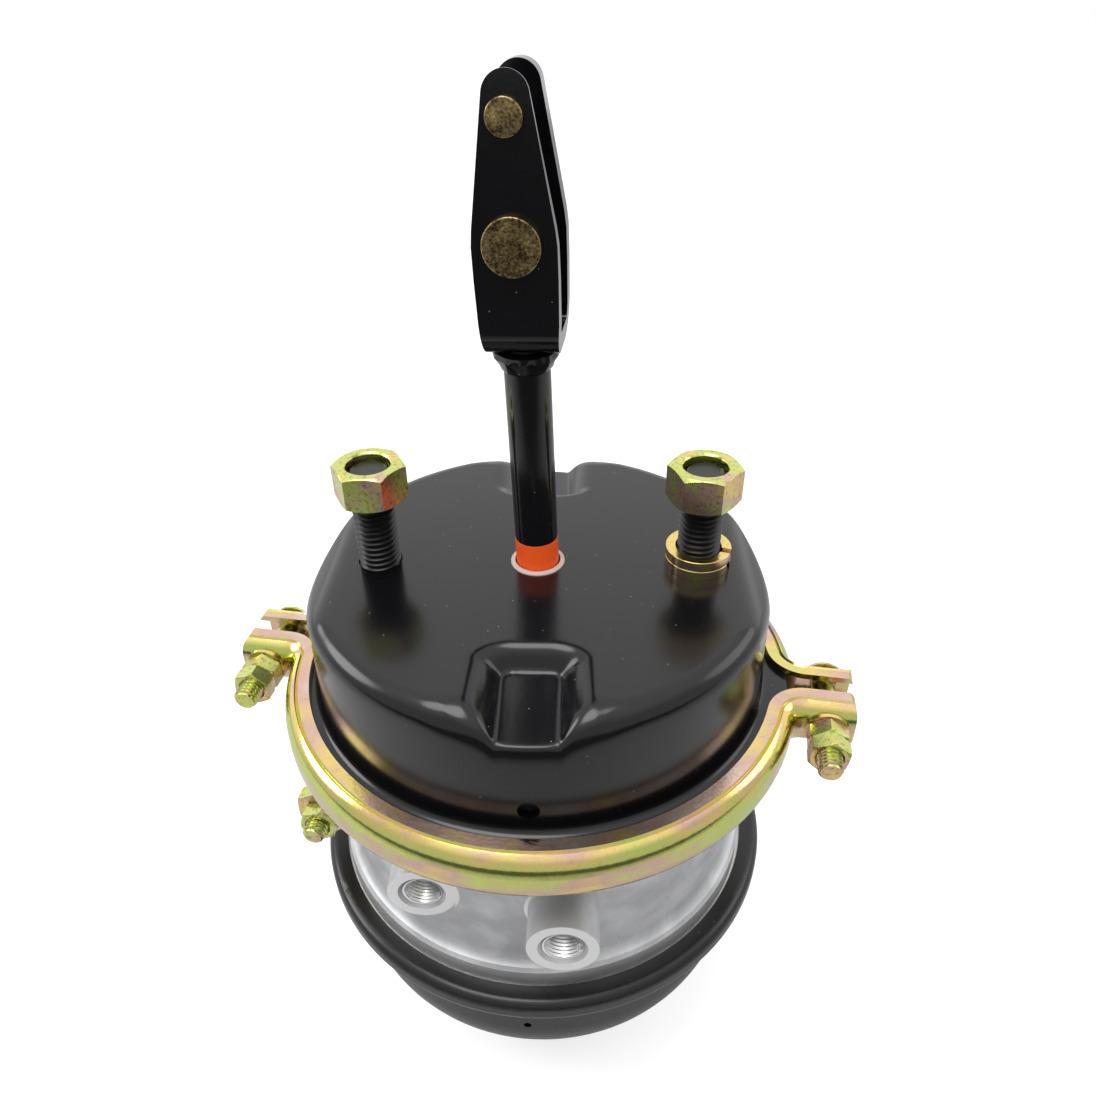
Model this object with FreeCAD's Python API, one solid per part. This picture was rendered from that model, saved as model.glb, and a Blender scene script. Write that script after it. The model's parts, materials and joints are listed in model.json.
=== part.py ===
"""Combination spring brake chamber: service chamber above, spring chamber below, parked (rod out).

Millimetres. The origin is the centre of the mounting face, +Z points out along the push rod,
+X points to the right-hand mounting stud and -Y to the side with the air ports.
"""
import FreeCAD
import Part
import math
import os

# clearances shared by many pieces
contact = 0.05
running = 0.05
thread_fit = 0.06

# mounting studs, 5/8 inch thread, and what is screwed on them
stud_half_span = 60.325
stud_r = 7.9375
stud_neck_r = stud_r - 0.3875
stud_hole_r = stud_r + 0.4125
stud_top_z = 39.1
stud_grip_from_z = 8.9
stud_head_r = stud_r + 4.5625
stud_head_t = 5.0
nut_af = 23.8
nut_h = 13.9
nut_bottom_z = 27.9
nut_turn_left = 0.0
nut_turn_right = -8.7
lock_washer_bore_r = stud_r + 0.5125
lock_washer_r = lock_washer_bore_r + 3.75
lock_washer_t = 3.9
lock_washer_slot = 2.2
washer_gap = 0.08

# service housing, a pressed steel cup
sheet = 3.0
head_to_wall = 12.175
housing_r = stud_half_span + stud_head_r + head_to_wall + sheet
shoulder_r = 7.0
side_cut = 12.6
side_chord_x = housing_r - side_cut
side_slope = 42.0
side_crease_r = 5.0
flange_width = 11.3
flange_r = housing_r + flange_width
flange_top_z = -48.5
neck_r = 3.5
wall_end_z = flange_top_z + neck_r
recess_depth = 8.0
recess_half = 20.6
recess_floor_half = 10.4
recess_length = 40.2
recess_floor_length = 33.8
recess_back_y = housing_r - recess_length
recess_floor_back_y = housing_r - recess_floor_length
drain_r = 3.8
drain_z = -38.0
spotface_r = lock_washer_r + 0.8
spotface_depth = 0.2

# push rod, leaning a little as in the photograph, with its yoke
lean_x = -0.027
lean_y = 0.007
yoke_yaw = -5.6
rod_r = 7.9375
ball_r = rod_r + 2.0625
ball_z = -10.0
ball_fit = 0.06
guide_bore_r = rod_r + 0.6625
guide_r = guide_bore_r + 1.6
guide_hole_r = guide_r + 0.1
guide_top_z = 1.0
stroke = 63.5
band_r = rod_r + 0.1125
band_top_z = 11.5
band_bottom_z = 3.0
yoke_half_gap = 8.0
yoke_plate = 6.5
yoke_bottom_t = 86.5
rod_top_t = yoke_bottom_t + yoke_plate + 0.6
yoke_bend_r = 9.0
yoke_shift = 0.5
yoke_half_width = 13.0
yoke_tip_r = 6.8
large_pin_rise = 36.0
large_pin_t = yoke_bottom_t + large_pin_rise
pin_pitch = 35.0
small_pin_t = large_pin_t + pin_pitch
yoke_tip_t = small_pin_t + 5.1
large_pin_r = 6.35
small_pin_r = 3.175
large_head_r = large_pin_r + 2.65
small_head_r = small_pin_r + 2.175
large_head_t = 2.6
small_head_t = 2.0
large_cotter_r = 1.5
small_cotter_r = 1.0
pin_fit = 0.08
pin_tail = 4.6

# push plate, diaphragms and springs
plate_top_z = ball_z - ball_r
plate_t = 3.0
bowl_step = 9.5
service_bowl_r = housing_r - bowl_step
plate_r = service_bowl_r - 14.5
hub_r = ball_r + 6.5
hub_top_z = ball_z + 2.0
rubber = 3.0
bead_t = 5.0
service_wire_r = 2.3
service_coil_out_r = 43.5
adapter_wire_r = 2.05
adapter_coil_in_r = 21.0
adapter_coil_out_r = 32.0
power_wire_r = 6.35
power_coil_top_r = 46.0
power_coil_low_r = 33.0
coil_gap = 0.15

# cast flange case between the two chambers
case_top_z = flange_top_z - sheet - bead_t
case_flange_t = 8.85
case_flange_bottom_z = case_top_z - case_flange_t
case_wall = 6.0
case_r = service_bowl_r + case_wall
case_lip_r = case_r + 4.0
case_lip_top_z = -130.5
case_cove_r = 5.0
case_lip_h = 9.25
case_foot_r = case_lip_r + 5.9
case_foot_t = 2.6
case_foot_top_z = case_lip_top_z - case_lip_h
case_foot_bottom_z = case_foot_top_z - case_foot_t
service_floor_z = -90.5
divider_t = 10.0
divider_bottom_z = service_floor_z - divider_t
spring_cavity_r = case_r - 4.5
port_drop = 5.5
port_z = service_floor_z - port_drop
port_bore_r = 7.4
port_boss_r = port_bore_r + 5.6
port_sink = 1.6
left_port_x = -41.5
left_port_back = 5.3
left_port_face_y = left_port_back - case_r
left_port_depth = 19.0
right_port_x = 11.2
right_port_out = 15.5
right_port_face_y = -case_r - right_port_out
right_port_depth = 27.0
spot_r = port_boss_r + 1.2
passage_r = 2.5

# clamp ring in two halves
clamp_turn = -8.2
clamp_t = 2.4
clamp_room = 1.3
clamp_grip = 6.5
clamp_ease = 0.1
clamp_r = flange_r + clamp_room + clamp_t
clamp_in_r = flange_r - clamp_grip
clamp_top_z = flange_top_z + clamp_t + clamp_ease
clamp_bottom_z = case_flange_bottom_z - clamp_t - contact
clamp_crown_r = 8.6
clamp_heel_r = 9.7
clamp_mid_z = (clamp_top_z + clamp_bottom_z) / 2
bend_in_r = 5.0
lug_gap_half = 4.0
bolt_offset = 11.7
bolt_lateral = clamp_r + bolt_offset
lug_margin = 10.3
lug_end = bolt_lateral + lug_margin
lug_corner_r = 5.5
bolt_r = 4.7625
bolt_hole_r = bolt_r + 0.5375
bolt_tip = 36.4
bolt_nut_af = 14.3
bolt_nut_h = 6.9
bolt_washer_r = bolt_r + 3.5875
bolt_neck = bolt_r - 0.1125
bolt_dome_r = 10.5
bolt_dome_h = 5.4
bolt_washer_t = 1.6

# adapter that carries the spring force to the push rod
adapter_r = 15.0
adapter_top_z = plate_top_z - plate_t - rubber - 2 * contact
adapter_gap = 11.5
adapter_base_z = divider_bottom_z - adapter_gap
adapter_base_r = 35.0
adapter_base_t = 4.0
adapter_stub_r = 12.5
adapter_stub_h = 17.0
adapter_bore_r = adapter_stub_r - 4.0
bush_wall = 3.0
seal_inset = 2.7
seal_half_h = 1.1
seal_depth = 1.85
pressure_plate_r = 60.0
pressure_plate_t = 3.5
adapter_nut_af = 36.0
adapter_nut_h = 9.0

# spring housing, rolled over the flange case
rim_wall = 3.4
rim_fit = 0.3
rim_roll_r = 4.1
rim_top_z = case_foot_top_z + 2.55
rim_low_z = case_foot_bottom_z - 5.85
rim_r = case_foot_r + rim_fit + rim_wall
rim_lip_in_r = case_lip_r + 1.1
lower_wall_r = rim_r - 9.6
shoulder_z = -171.5
shoulder_big_r = 30.0
base_z = -250.0
base_flat_r = 41.0
dish_r = 22.0
dish_depth = 5.0
lower_sheet = 3.2
caging_hole_r = 11.0
plug_fit = 0.08
vent_z = -168.0
vent_r = 1.6

# release bolt stored in a side pocket
store_out = 0.7
store_x = -case_r - store_out
store_z = -108.0
store_reach = 20.1
store_bolt_r = 4.7625
store_head_half = store_bolt_r + 4.2375
store_head_h = 7.0
store_nut_af = 14.3
store_nut_h = 6.9
store_collar_af = 22.0
store_collar_h = 8.0
store_collar_turn = 30.0
store_boss_r = store_bolt_r + 4.7375
store_boss_front_y = -38.0
store_boss_back_y = 30.0
store_tip_y = store_boss_front_y - store_reach

origin = FreeCAD.Vector(0, 0, 0)
up = FreeCAD.Vector(0, 0, 1)


def vec(x, y, z):
    return FreeCAD.Vector(x, y, z)


def cyl(r, z0, z1, x=0.0, y=0.0):
    return Part.makeCylinder(r, z1 - z0, vec(x, y, z0), up)


def tube(r_out, r_in, z0, z1, x=0.0, y=0.0):
    return cyl(r_out, z0, z1, x, y).cut(cyl(r_in, z0 - 1, z1 + 1, x, y))


def box(x0, x1, y0, y1, z0, z1):
    return Part.makeBox(x1 - x0, y1 - y0, z1 - z0, vec(x0, y0, z0))


def chain(items, flat):
    """A closed wire from points and three-point arcs. An arc is given as (mid point, end point)."""
    edges = []
    here = items[0]
    for item in items[1:] + [items[0]]:
        if isinstance(item[0], tuple):
            mid, end = item
            edges.append(Part.Arc(flat(*here), flat(*mid), flat(*end)).toShape())
            here = end
        else:
            if math.dist(here, item) > 1e-6:
                edges.append(Part.makeLine(flat(*here), flat(*item)))
            here = item
    return Part.Wire(edges)


def turn_profile(items, angle=360.0, start=0.0):
    """Revolve a profile of (radius, z) items about the chamber axis."""
    face = Part.Face(chain(items, lambda r, z: vec(r, 0, z)))
    solid = face.revolve(origin, up, angle)
    solid.rotate(origin, up, start)
    return solid


def arc(cx, cz, r, a0, a1):
    """An arc about (cx, cz) for a chain: its start, then its middle and end. Degrees."""
    spots = []
    for a in (a0, (a0 + a1) / 2, a1):
        a = math.radians(a)
        spots.append((cx + r * math.cos(a), cz + r * math.sin(a)))
    return [spots[0], (spots[1], spots[2])]


def hexagon(af, z0, z1, turn=0.0, chamfer=0.0):
    """A hexagonal prism about Z, its corners taken back by a cone at both ends."""
    corner = af / 2 / math.cos(math.radians(30))
    points = []
    for i in range(7):
        a = math.radians(60 * i + turn)
        points.append(vec(corner * math.cos(a), corner * math.sin(a), z0))
    solid = Part.Face(Part.makePolygon(points)).extrude(vec(0, 0, z1 - z0))
    if chamfer:
        flat_r = af / 2 * 0.97
        rise = chamfer * (corner + 1 - flat_r)
        envelope = turn_profile(
            [
                (0.0, z0),
                (flat_r, z0),
                (corner + 1, z0 + rise),
                (corner + 1, z1 - rise),
                (flat_r, z1),
                (0.0, z1),
            ]
        )
        solid = solid.common(envelope)
    return solid


def nut(af, z0, z1, bore_r, turn=0.0):
    """A hexagon nut with countersunk bore."""
    solid = hexagon(af, z0, z1, turn, 0.55).cut(cyl(bore_r, z0 - 1, z1 + 1))
    sink = 0.7
    for z, tip in ((z0, z0 + sink), (z1, z1 - sink)):
        way = 1 if tip > z else -1
        cone = Part.makeCone(bore_r + sink, bore_r, sink, vec(0, 0, z), vec(0, 0, way))
        solid = solid.cut(cone)
    return solid


def coil(r0, z0, r1, z1, turns, wire_r, sides, steps):
    """A spring wire as short straight lengths that meet on mitres, so every face is flat."""
    count = int(turns * steps)
    centres = []
    for i in range(count + 1):
        a = 2 * math.pi * i / steps
        f = i / count
        r = r0 + (r1 - r0) * f
        centres.append(vec(r * math.cos(a), r * math.sin(a), z0 + (z1 - z0) * f))
    heading = (centres[1] - centres[0]).normalize()
    side = heading.cross(up).normalize()
    rise = side.cross(heading).normalize()
    ring = []
    for k in range(sides):
        a = 2 * math.pi * (k + 0.5) / sides
        ring.append(centres[0] + side * (wire_r * math.cos(a)) + rise * (wire_r * math.sin(a)))
    rings = [ring]
    for i in range(1, count + 1):
        heading = (centres[i] - centres[i - 1]).normalize()
        normal = heading
        if i < count:
            normal = (heading + (centres[i + 1] - centres[i]).normalize()).normalize()
        moved = []
        for p in rings[-1]:
            step = (centres[i] - p).dot(normal) / heading.dot(normal)
            moved.append(p + heading * step)
        rings.append(moved)
    faces = [Part.Face(Part.makePolygon(rings[0] + [rings[0][0]]))]
    faces.append(Part.Face(Part.makePolygon(rings[-1] + [rings[-1][0]])))
    for a, b in zip(rings, rings[1:]):
        for k in range(sides):
            n = (k + 1) % sides
            faces.append(Part.Face(Part.makePolygon([a[k], a[n], b[n], b[k], a[k]])))
    solid = Part.Solid(Part.Shell(faces))
    if solid.Volume < 0:
        solid.reverse()
    return solid


def aimed(shape, place, way):
    """Turn a shape built along +Z so that it starts at place and points along way."""
    shape = shape.copy()
    shape.Placement = FreeCAD.Placement(place, FreeCAD.Rotation(up, way)).multiply(shape.Placement)
    return shape


rod_way = vec(lean_x, lean_y, 1.0).normalize()
rod_turn = FreeCAD.Rotation(up, rod_way).multiply(FreeCAD.Rotation(up, yoke_yaw))


def on_rod(shape):
    """From the push rod's own frame (Z along the rod, -Y to the pin heads) to the chamber's."""
    shape = shape.copy()
    shape.Placement = FreeCAD.Placement(origin, rod_turn).multiply(shape.Placement)
    return shape


def on_clamp(shape):
    """From the clamp's own frame (X through both bolts, -Y to the nuts) to the chamber's."""
    shape = shape.copy()
    shape.rotate(origin, up, clamp_turn)
    return shape


def recess_tool(grow, side):
    """The pressed recess in the shoulder, as a stack of rounded outlines. side is -1 front, 1 rear."""
    widen = recess_half - recess_floor_half
    rise = recess_floor_back_y - recess_back_y
    rows = []
    for share, height, corner in (
        (0.0, 0.0, 2.2),
        (0.18, 0.09, 2.8),
        (0.42, 0.4, 4.6),
        (0.72, 0.76, 8.0),
        (1.0, 1.0, 11.0),
        (1.18, 1.19, 12.0),
    ):
        z = -recess_depth * (1 - height) - grow * (1 - 0.4 * share)
        rows.append((z, recess_floor_half + widen * share, recess_floor_back_y - rise * share, corner))
    wires = []
    for z, half, back, c in rows:
        half = half + grow
        back = back - grow
        k = c * (1 - math.sqrt(0.5))
        wire = chain(
            [
                (-half, housing_r + 32),
                (-half, back + c),
                ((-half + k, back + k), (-half + c, back)),
                (half - c, back),
                ((half - k, back + k), (half, back + c)),
                (half, housing_r + 32),
            ],
            lambda x, y, z=z: vec(x, side * y, z),
        )
        wires.append(wire)
    return Part.makeLoft(wires, True, True)


def side_envelope(inset):
    """A long bar whose upper edges slope off, so that the cup's two sides are flattened."""
    crease = side_crease_r - inset
    wide = flange_r + 5
    steep = math.radians(90 - side_slope)
    bend_x = side_chord_x + crease * math.cos(steep)
    bend_z = -side_crease_r + crease * math.sin(steep)
    fall = housing_r + 2 - bend_x
    low_x = bend_x + fall
    low_z = bend_z - fall * math.tan(math.radians(side_slope))
    half = [
        *arc(side_chord_x, -side_crease_r, crease, 90, 90 - side_slope),
        (low_x, low_z),
        (wide, low_z),
        (wide, flange_top_z - 11.5),
    ]
    mirrored = [
        (-wide, flange_top_z - 11.5),
        (-wide, low_z),
        (-low_x, low_z),
        *arc(-side_chord_x, -side_crease_r, crease, 90 + side_slope, 90),
    ]
    face = Part.Face(chain(half + mirrored, lambda x, z: vec(x, -wide - 15, z)))
    return face.extrude(vec(0, 2 * wide + 30, 0))


def service_housing():
    outer = turn_profile(
        [
            (0.0, 0.0),
            (housing_r - shoulder_r, 0.0),
            *arc(housing_r - shoulder_r, -shoulder_r, shoulder_r, 90, 0),
            (housing_r, wall_end_z),
            *arc(housing_r + neck_r, wall_end_z, neck_r, 180, 270),
            (flange_r, flange_top_z),
            (flange_r, flange_top_z - sheet),
            (0.0, flange_top_z - sheet),
        ]
    )
    inner_r = housing_r - sheet
    inner = turn_profile(
        [
            (0.0, -sheet),
            (housing_r - shoulder_r, -sheet),
            *arc(housing_r - shoulder_r, -shoulder_r, shoulder_r - sheet, 90, 0),
            (inner_r, wall_end_z),
            *arc(housing_r + neck_r, wall_end_z, neck_r + sheet, 180, 270),
            (housing_r + neck_r, flange_top_z - 11.5),
            (0.0, flange_top_z - 11.5),
        ]
    )
    outer = outer.common(side_envelope(0.0))
    inner = inner.common(side_envelope(sheet))
    for side in (-1, 1):
        outer = outer.cut(recess_tool(0.0, side))
        inner = inner.cut(recess_tool(sheet, side))
    housing = outer.cut(inner)
    housing = housing.cut(cyl(guide_hole_r, -10, 10))
    for x in (-stud_half_span, stud_half_span):
        housing = housing.cut(cyl(stud_hole_r, -10, 10, x))
        housing = housing.cut(cyl(spotface_r, -spotface_depth, 10, x))
    for y in (-housing_r - 12, housing_r - 28):
        housing = housing.cut(Part.makeCylinder(drain_r, 40, vec(0, y, drain_z), vec(0, 1, 0)))
    return housing


def stud_parts(x, turn):
    stud = cyl(stud_neck_r, -sheet - 0.5, stud_top_z - 1.2, x)
    stud = stud.fuse(cyl(stud_r, stud_grip_from_z, nut_bottom_z - 0.4, x))
    upper = cyl(stud_r - 0.2, nut_bottom_z - 0.4, stud_top_z - 1.4, x)
    tip = Part.makeCone(stud_r - 0.2, stud_r - 1.6, 1.4, vec(x, 0, stud_top_z - 1.4), up)
    stud = stud.fuse(upper).fuse(tip)
    stud = stud.fuse(cyl(stud_head_r, -sheet - stud_head_t, -sheet, x))
    piece = nut(nut_af, nut_bottom_z, nut_bottom_z + nut_h, stud_r + thread_fit, turn)
    piece.translate(vec(x, 0, 0))
    return stud, piece


def lock_washer(z0, gap_angle):
    ring = tube(lock_washer_r, lock_washer_bore_r, z0, z0 + lock_washer_t)
    half = lock_washer_slot / 2
    slot = box(5, lock_washer_r + 8, -half, half, z0 - 2, z0 + lock_washer_t + 2)
    slot.rotate(vec(0, 0, z0 + lock_washer_t / 2), vec(1, 0, 0), 28)
    ring = ring.cut(slot)
    ring.rotate(origin, up, gap_angle)
    ring.translate(vec(stud_half_span, 0, 0))
    return ring


def pushrod_guide():
    return turn_profile(
        [
            (guide_bore_r, guide_top_z),
            (guide_r - 0.5, guide_top_z),
            (guide_r, guide_top_z - 0.5),
            (guide_r, -sheet - 0.1),
            (guide_r + 1.2, -sheet - 0.1),
            (guide_r, -sheet - 1.8),
            (guide_bore_r, -sheet - 1.8),
        ]
    )


def pushrod():
    foot = Part.makeSphere(ball_r, vec(0, 0, ball_z))
    foot = foot.common(cyl(ball_r + 1, ball_z - ball_r - 1, ball_z))
    rod = cyl(rod_r, ball_z - 1, rod_top_t)
    groove = tube(band_r + 1, rod_r - 0.25, band_bottom_z, band_top_z)
    return on_rod(foot.fuse(rod).cut(groove))


def stroke_band():
    return on_rod(tube(rod_r + 0.04, rod_r - 0.24, band_bottom_z + 0.02, band_top_z - 0.02))


def yoke():
    half = yoke_half_gap + yoke_plate
    bottom = yoke_bottom_t
    b = yoke_bend_r
    a = b - yoke_plate
    top = yoke_tip_t + yoke_tip_r + 5.6
    wide = yoke_half_width
    outer = [
        (-half, top),
        (-half, bottom + b),
        *arc(-half + b, bottom + b, b, 180, 270),
        (half - b, bottom),
        *arc(half - b, bottom + b, b, 270, 360),
        (half, top),
        (yoke_half_gap, top),
        (yoke_half_gap, bottom + b),
        *arc(yoke_half_gap - a, bottom + b, a, 360, 270),
        (-yoke_half_gap + a, bottom + yoke_plate),
        *arc(-yoke_half_gap + a, bottom + b, a, 270, 180),
    ]
    strip = Part.Face(chain(outer, lambda y, z: vec(-wide - 7, y, z))).extrude(vec(2 * wide + 14, 0, 0))
    top_r = yoke_tip_r
    top_t = yoke_tip_t
    bend_t = large_pin_t + 1.5
    lean = math.asin((wide - top_r) / math.hypot(wide - top_r, top_t - bend_t) * 0.985)
    tx = top_r * math.cos(lean)
    tz = top_t + top_r * math.sin(lean)
    side = [
        (1.2 - wide, bottom - 1),
        (0.3 - wide, bottom + 11.5),
        (-wide, large_pin_t - 10.5),
        (-wide, large_pin_t - 0.5),
        (-wide + 0.5, large_pin_t + 4.5),
        (-tx, tz),
        ((0.0, top_t + top_r), (tx, tz)),
        (wide - 0.5, large_pin_t + 4.5),
        (wide, large_pin_t - 0.5),
        (wide, large_pin_t - 10.5),
        (wide - 0.3, bottom + 11.5),
        (wide - 1.2, bottom - 1),
    ]
    deep = half + 5.5
    outline = Part.Face(chain(side, lambda x, z: vec(x + yoke_shift, -deep, z)))
    body = strip.common(outline.extrude(vec(0, 2 * deep, 0)))
    for t, r in ((large_pin_t, large_pin_r), (small_pin_t, small_pin_r)):
        body = body.cut(Part.makeCylinder(r + pin_fit, 2 * deep, vec(0, -deep, t), vec(0, 1, 0)))
    body = body.cut(cyl(rod_r + contact, bottom - 16.5, bottom + yoke_plate + 1))
    return on_rod(body)


def yoke_weld():
    low = yoke_bottom_t - 8.6
    top = yoke_bottom_t - 0.02
    bead = turn_profile(
        [
            (rod_r + 0.02, low),
            (rod_r + 0.9, low),
            (rod_r + 2.0, low + 2.2),
            (rod_r + 3.4625, top - 1.4),
            (rod_r + 3.6625, top),
            (rod_r + 0.02, top),
        ]
    )
    return on_rod(bead)


def yoke_pin(t, r, head_r, head_t, cotter_r):
    face = yoke_half_gap + yoke_plate
    pin = Part.makeCylinder(r, 2 * face + pin_tail, vec(0, -face, t), vec(0, 1, 0))
    head = Part.makeCylinder(head_r, head_t, vec(0, -face - 0.03 - head_t, t), vec(0, 1, 0))
    rim = [e for e in head.Edges if abs(e.CenterOfMass.y + face + 0.03 + head_t) < 0.01]
    head = head.makeFillet(0.5, [e for e in rim if len(e.Vertexes) == 1])
    neck = Part.makeCylinder(r, 0.2, vec(0, -face - 0.1, t), vec(0, 1, 0))
    pin = pin.fuse(neck).fuse(head)
    y = face + pin_tail - 2.2
    pin = pin.cut(Part.makeCylinder(cotter_r + 0.06, 40, vec(-20, y, t), vec(1, 0, 0)))
    stem = Part.makeCylinder(cotter_r, 2 * r + 6, vec(-r - 3, y, t), vec(1, 0, 0))
    eye_r = cotter_r * 1.6
    eye = Part.makeTorus(eye_r, cotter_r * 0.7, vec(-r - 3 - eye_r, y, t), vec(0, 1, 0))
    return on_rod(pin), on_rod(stem.fuse(eye))


def push_plate():
    foot_x = ball_z * lean_x
    foot_y = ball_z * lean_y
    plate = turn_profile(
        [
            (0.0, plate_top_z - plate_t),
            (plate_r - 1.0, plate_top_z - plate_t),
            ((plate_r + 0.1, plate_top_z - 1.5), (plate_r - 1.0, plate_top_z)),
            (hub_r + 2.0, plate_top_z),
            (hub_r, plate_top_z + 2.0),
            (hub_r, hub_top_z),
            (0.0, hub_top_z),
        ]
    )
    plate = plate.cut(Part.makeSphere(ball_r + ball_fit, vec(foot_x, foot_y, ball_z)))
    return plate.cut(cyl(ball_r + 2.5, ball_z, 0, foot_x, foot_y))


def rod_retainer():
    foot_x = ball_z * lean_x
    foot_y = ball_z * lean_y
    return tube(ball_r + 2.5 - 0.03, rod_r + 0.5, ball_z + 0.3, hub_top_z - 0.1, foot_x, foot_y)


def service_diaphragm():
    top = plate_top_z - plate_t - contact
    clamped = flange_top_z - sheet - contact
    return turn_profile(
        [
            (0.0, top),
            (plate_r + 3.0, top),
            (housing_r - 5.0, clamped + 6.0),
            (housing_r - 3.5, clamped),
            (flange_r - 0.3, clamped),
            (flange_r - 0.3, case_top_z + contact),
            (service_bowl_r + 2.0, case_top_z + contact),
            (service_bowl_r + 1.5, clamped + rubber),
            (plate_r + 1.0, top - rubber),
            (0.0, top - rubber),
        ]
    )


def clamp_section(r0, sign):
    """The channel's outline as (distance, z). distance runs from the open side (0) to the web."""
    web = clamp_r - clamp_in_r
    top = clamp_top_z
    low = clamp_bottom_z
    corner = flange_r + 0.25 - clamp_in_r
    foot = flange_r - 0.1 - clamp_in_r
    outline = [
        (0.0, top),
        (web - 5.9, top - 0.3),
        (web - 5.2, top - 1.1),
        (web - 4.4, top - 0.5),
        *arc(web - clamp_crown_r, top - 8.0, clamp_crown_r, 60.7, 0),
        *arc(web - clamp_heel_r, low + 9.0, clamp_heel_r, 0, -65),
        (0.0, low),
        (0.0, low + clamp_t),
        (foot, low + clamp_t),
        (web - clamp_t, low + clamp_t + 1.8),
        (web - clamp_t, top - clamp_t - 1.3),
        (corner, top - clamp_t - contact),
        (0.0, top - clamp_t - contact),
    ]
    return [
        tuple((r0 + sign * p[0], p[1]) for p in item)
        if isinstance(item[0], tuple)
        else (r0 + sign * item[0], item[1])
        for item in outline
    ]


def clamp_half(square_hole):
    """One half with lugs bent outward, in the clamp's own frame. A square hole holds a bolt's neck."""
    web = clamp_r - clamp_in_r
    centre_y = -lug_gap_half - web - bend_in_r
    reach = clamp_r + bend_in_r
    phi = math.degrees(math.asin(-centre_y / reach))
    centre_x = reach * math.cos(math.radians(phi))
    ring = turn_profile(clamp_section(clamp_in_r, 1), 180 - 2 * phi, 180 + phi)
    pieces = [ring]
    for side in (-1, 1):
        bend = turn_profile(clamp_section(bend_in_r + web, -1), 90 - phi, 90)
        bend.translate(vec(centre_x, centre_y, 0))
        face = Part.Face(
            chain(
                clamp_section(0, 1),
                lambda d, z: vec(centre_x, -lug_gap_half - d, z),
            )
        )
        lug = face.extrude(vec(lug_end - centre_x, 0, 0))
        trim = box(centre_x - 1, lug_end, -lug_gap_half - web - 10, 10, clamp_bottom_z - 1, clamp_top_z + 1)
        corners = []
        for e in trim.Edges:
            along_y = abs(e.tangentAt(e.FirstParameter).y) > 0.99
            if along_y and e.CenterOfMass.x > lug_end - 0.01:
                corners.append(e)
        trim = trim.makeFillet(min(lug_corner_r, (lug_end - centre_x) / 2 - 0.1), corners)
        lug = lug.common(trim)
        deep = lug_gap_half + web + 10
        hole = Part.makeCylinder(bolt_hole_r, deep + 5, vec(bolt_lateral, -deep, clamp_mid_z), vec(0, 1, 0))
        if square_hole:
            side_half = bolt_neck + 0.15
            hole = box(-side_half, side_half, -deep, 5, -side_half, side_half)
            hole.translate(vec(bolt_lateral, 0, clamp_mid_z))
        lug = lug.cut(hole)
        both = bend.fuse(lug)
        if side < 0:
            both = both.mirror(origin, vec(1, 0, 0))
        pieces.append(both)
    half = pieces[0].fuse(pieces[1:])
    return half.removeSplitter()


def clamp_hardware(side):
    """Bolt, washer, nut and lock nut of one clamp joint, in the chamber's frame."""
    web = clamp_r - clamp_in_r
    seat = lug_gap_half + web
    length = seat + bolt_tip
    shank = cyl(bolt_r, 0, length - 1.0)
    tip = Part.makeCone(bolt_r, bolt_r - 1.0, 1.0, vec(0, 0, length - 1.0), up)
    dome = Part.makeSphere(bolt_dome_r, vec(0, 0, bolt_dome_r - bolt_dome_h))
    dome = dome.common(cyl(bolt_washer_r, -bolt_dome_h, 0))
    neck = box(-bolt_neck, bolt_neck, -bolt_neck, bolt_neck, 0, 6)
    bolt = shank.fuse(tip).fuse(dome).fuse(neck)
    washer = tube(bolt_washer_r, bolt_r + 0.3, 2 * seat + 0.03, 2 * seat + bolt_washer_t)
    z1 = 2 * seat + bolt_washer_t + 0.03
    first = nut(bolt_nut_af, z1, z1 + bolt_nut_h, bolt_r + thread_fit, 30)
    z2 = z1 + bolt_nut_h + 0.05
    second = nut(bolt_nut_af, z2, z2 + bolt_nut_h, bolt_r + thread_fit, 22)
    out = []
    for shape in (bolt, washer, first, second):
        shape = aimed(shape, vec(side * bolt_lateral, seat, clamp_mid_z), vec(0, -1, 0))
        out.append(on_clamp(shape))
    return out


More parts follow.
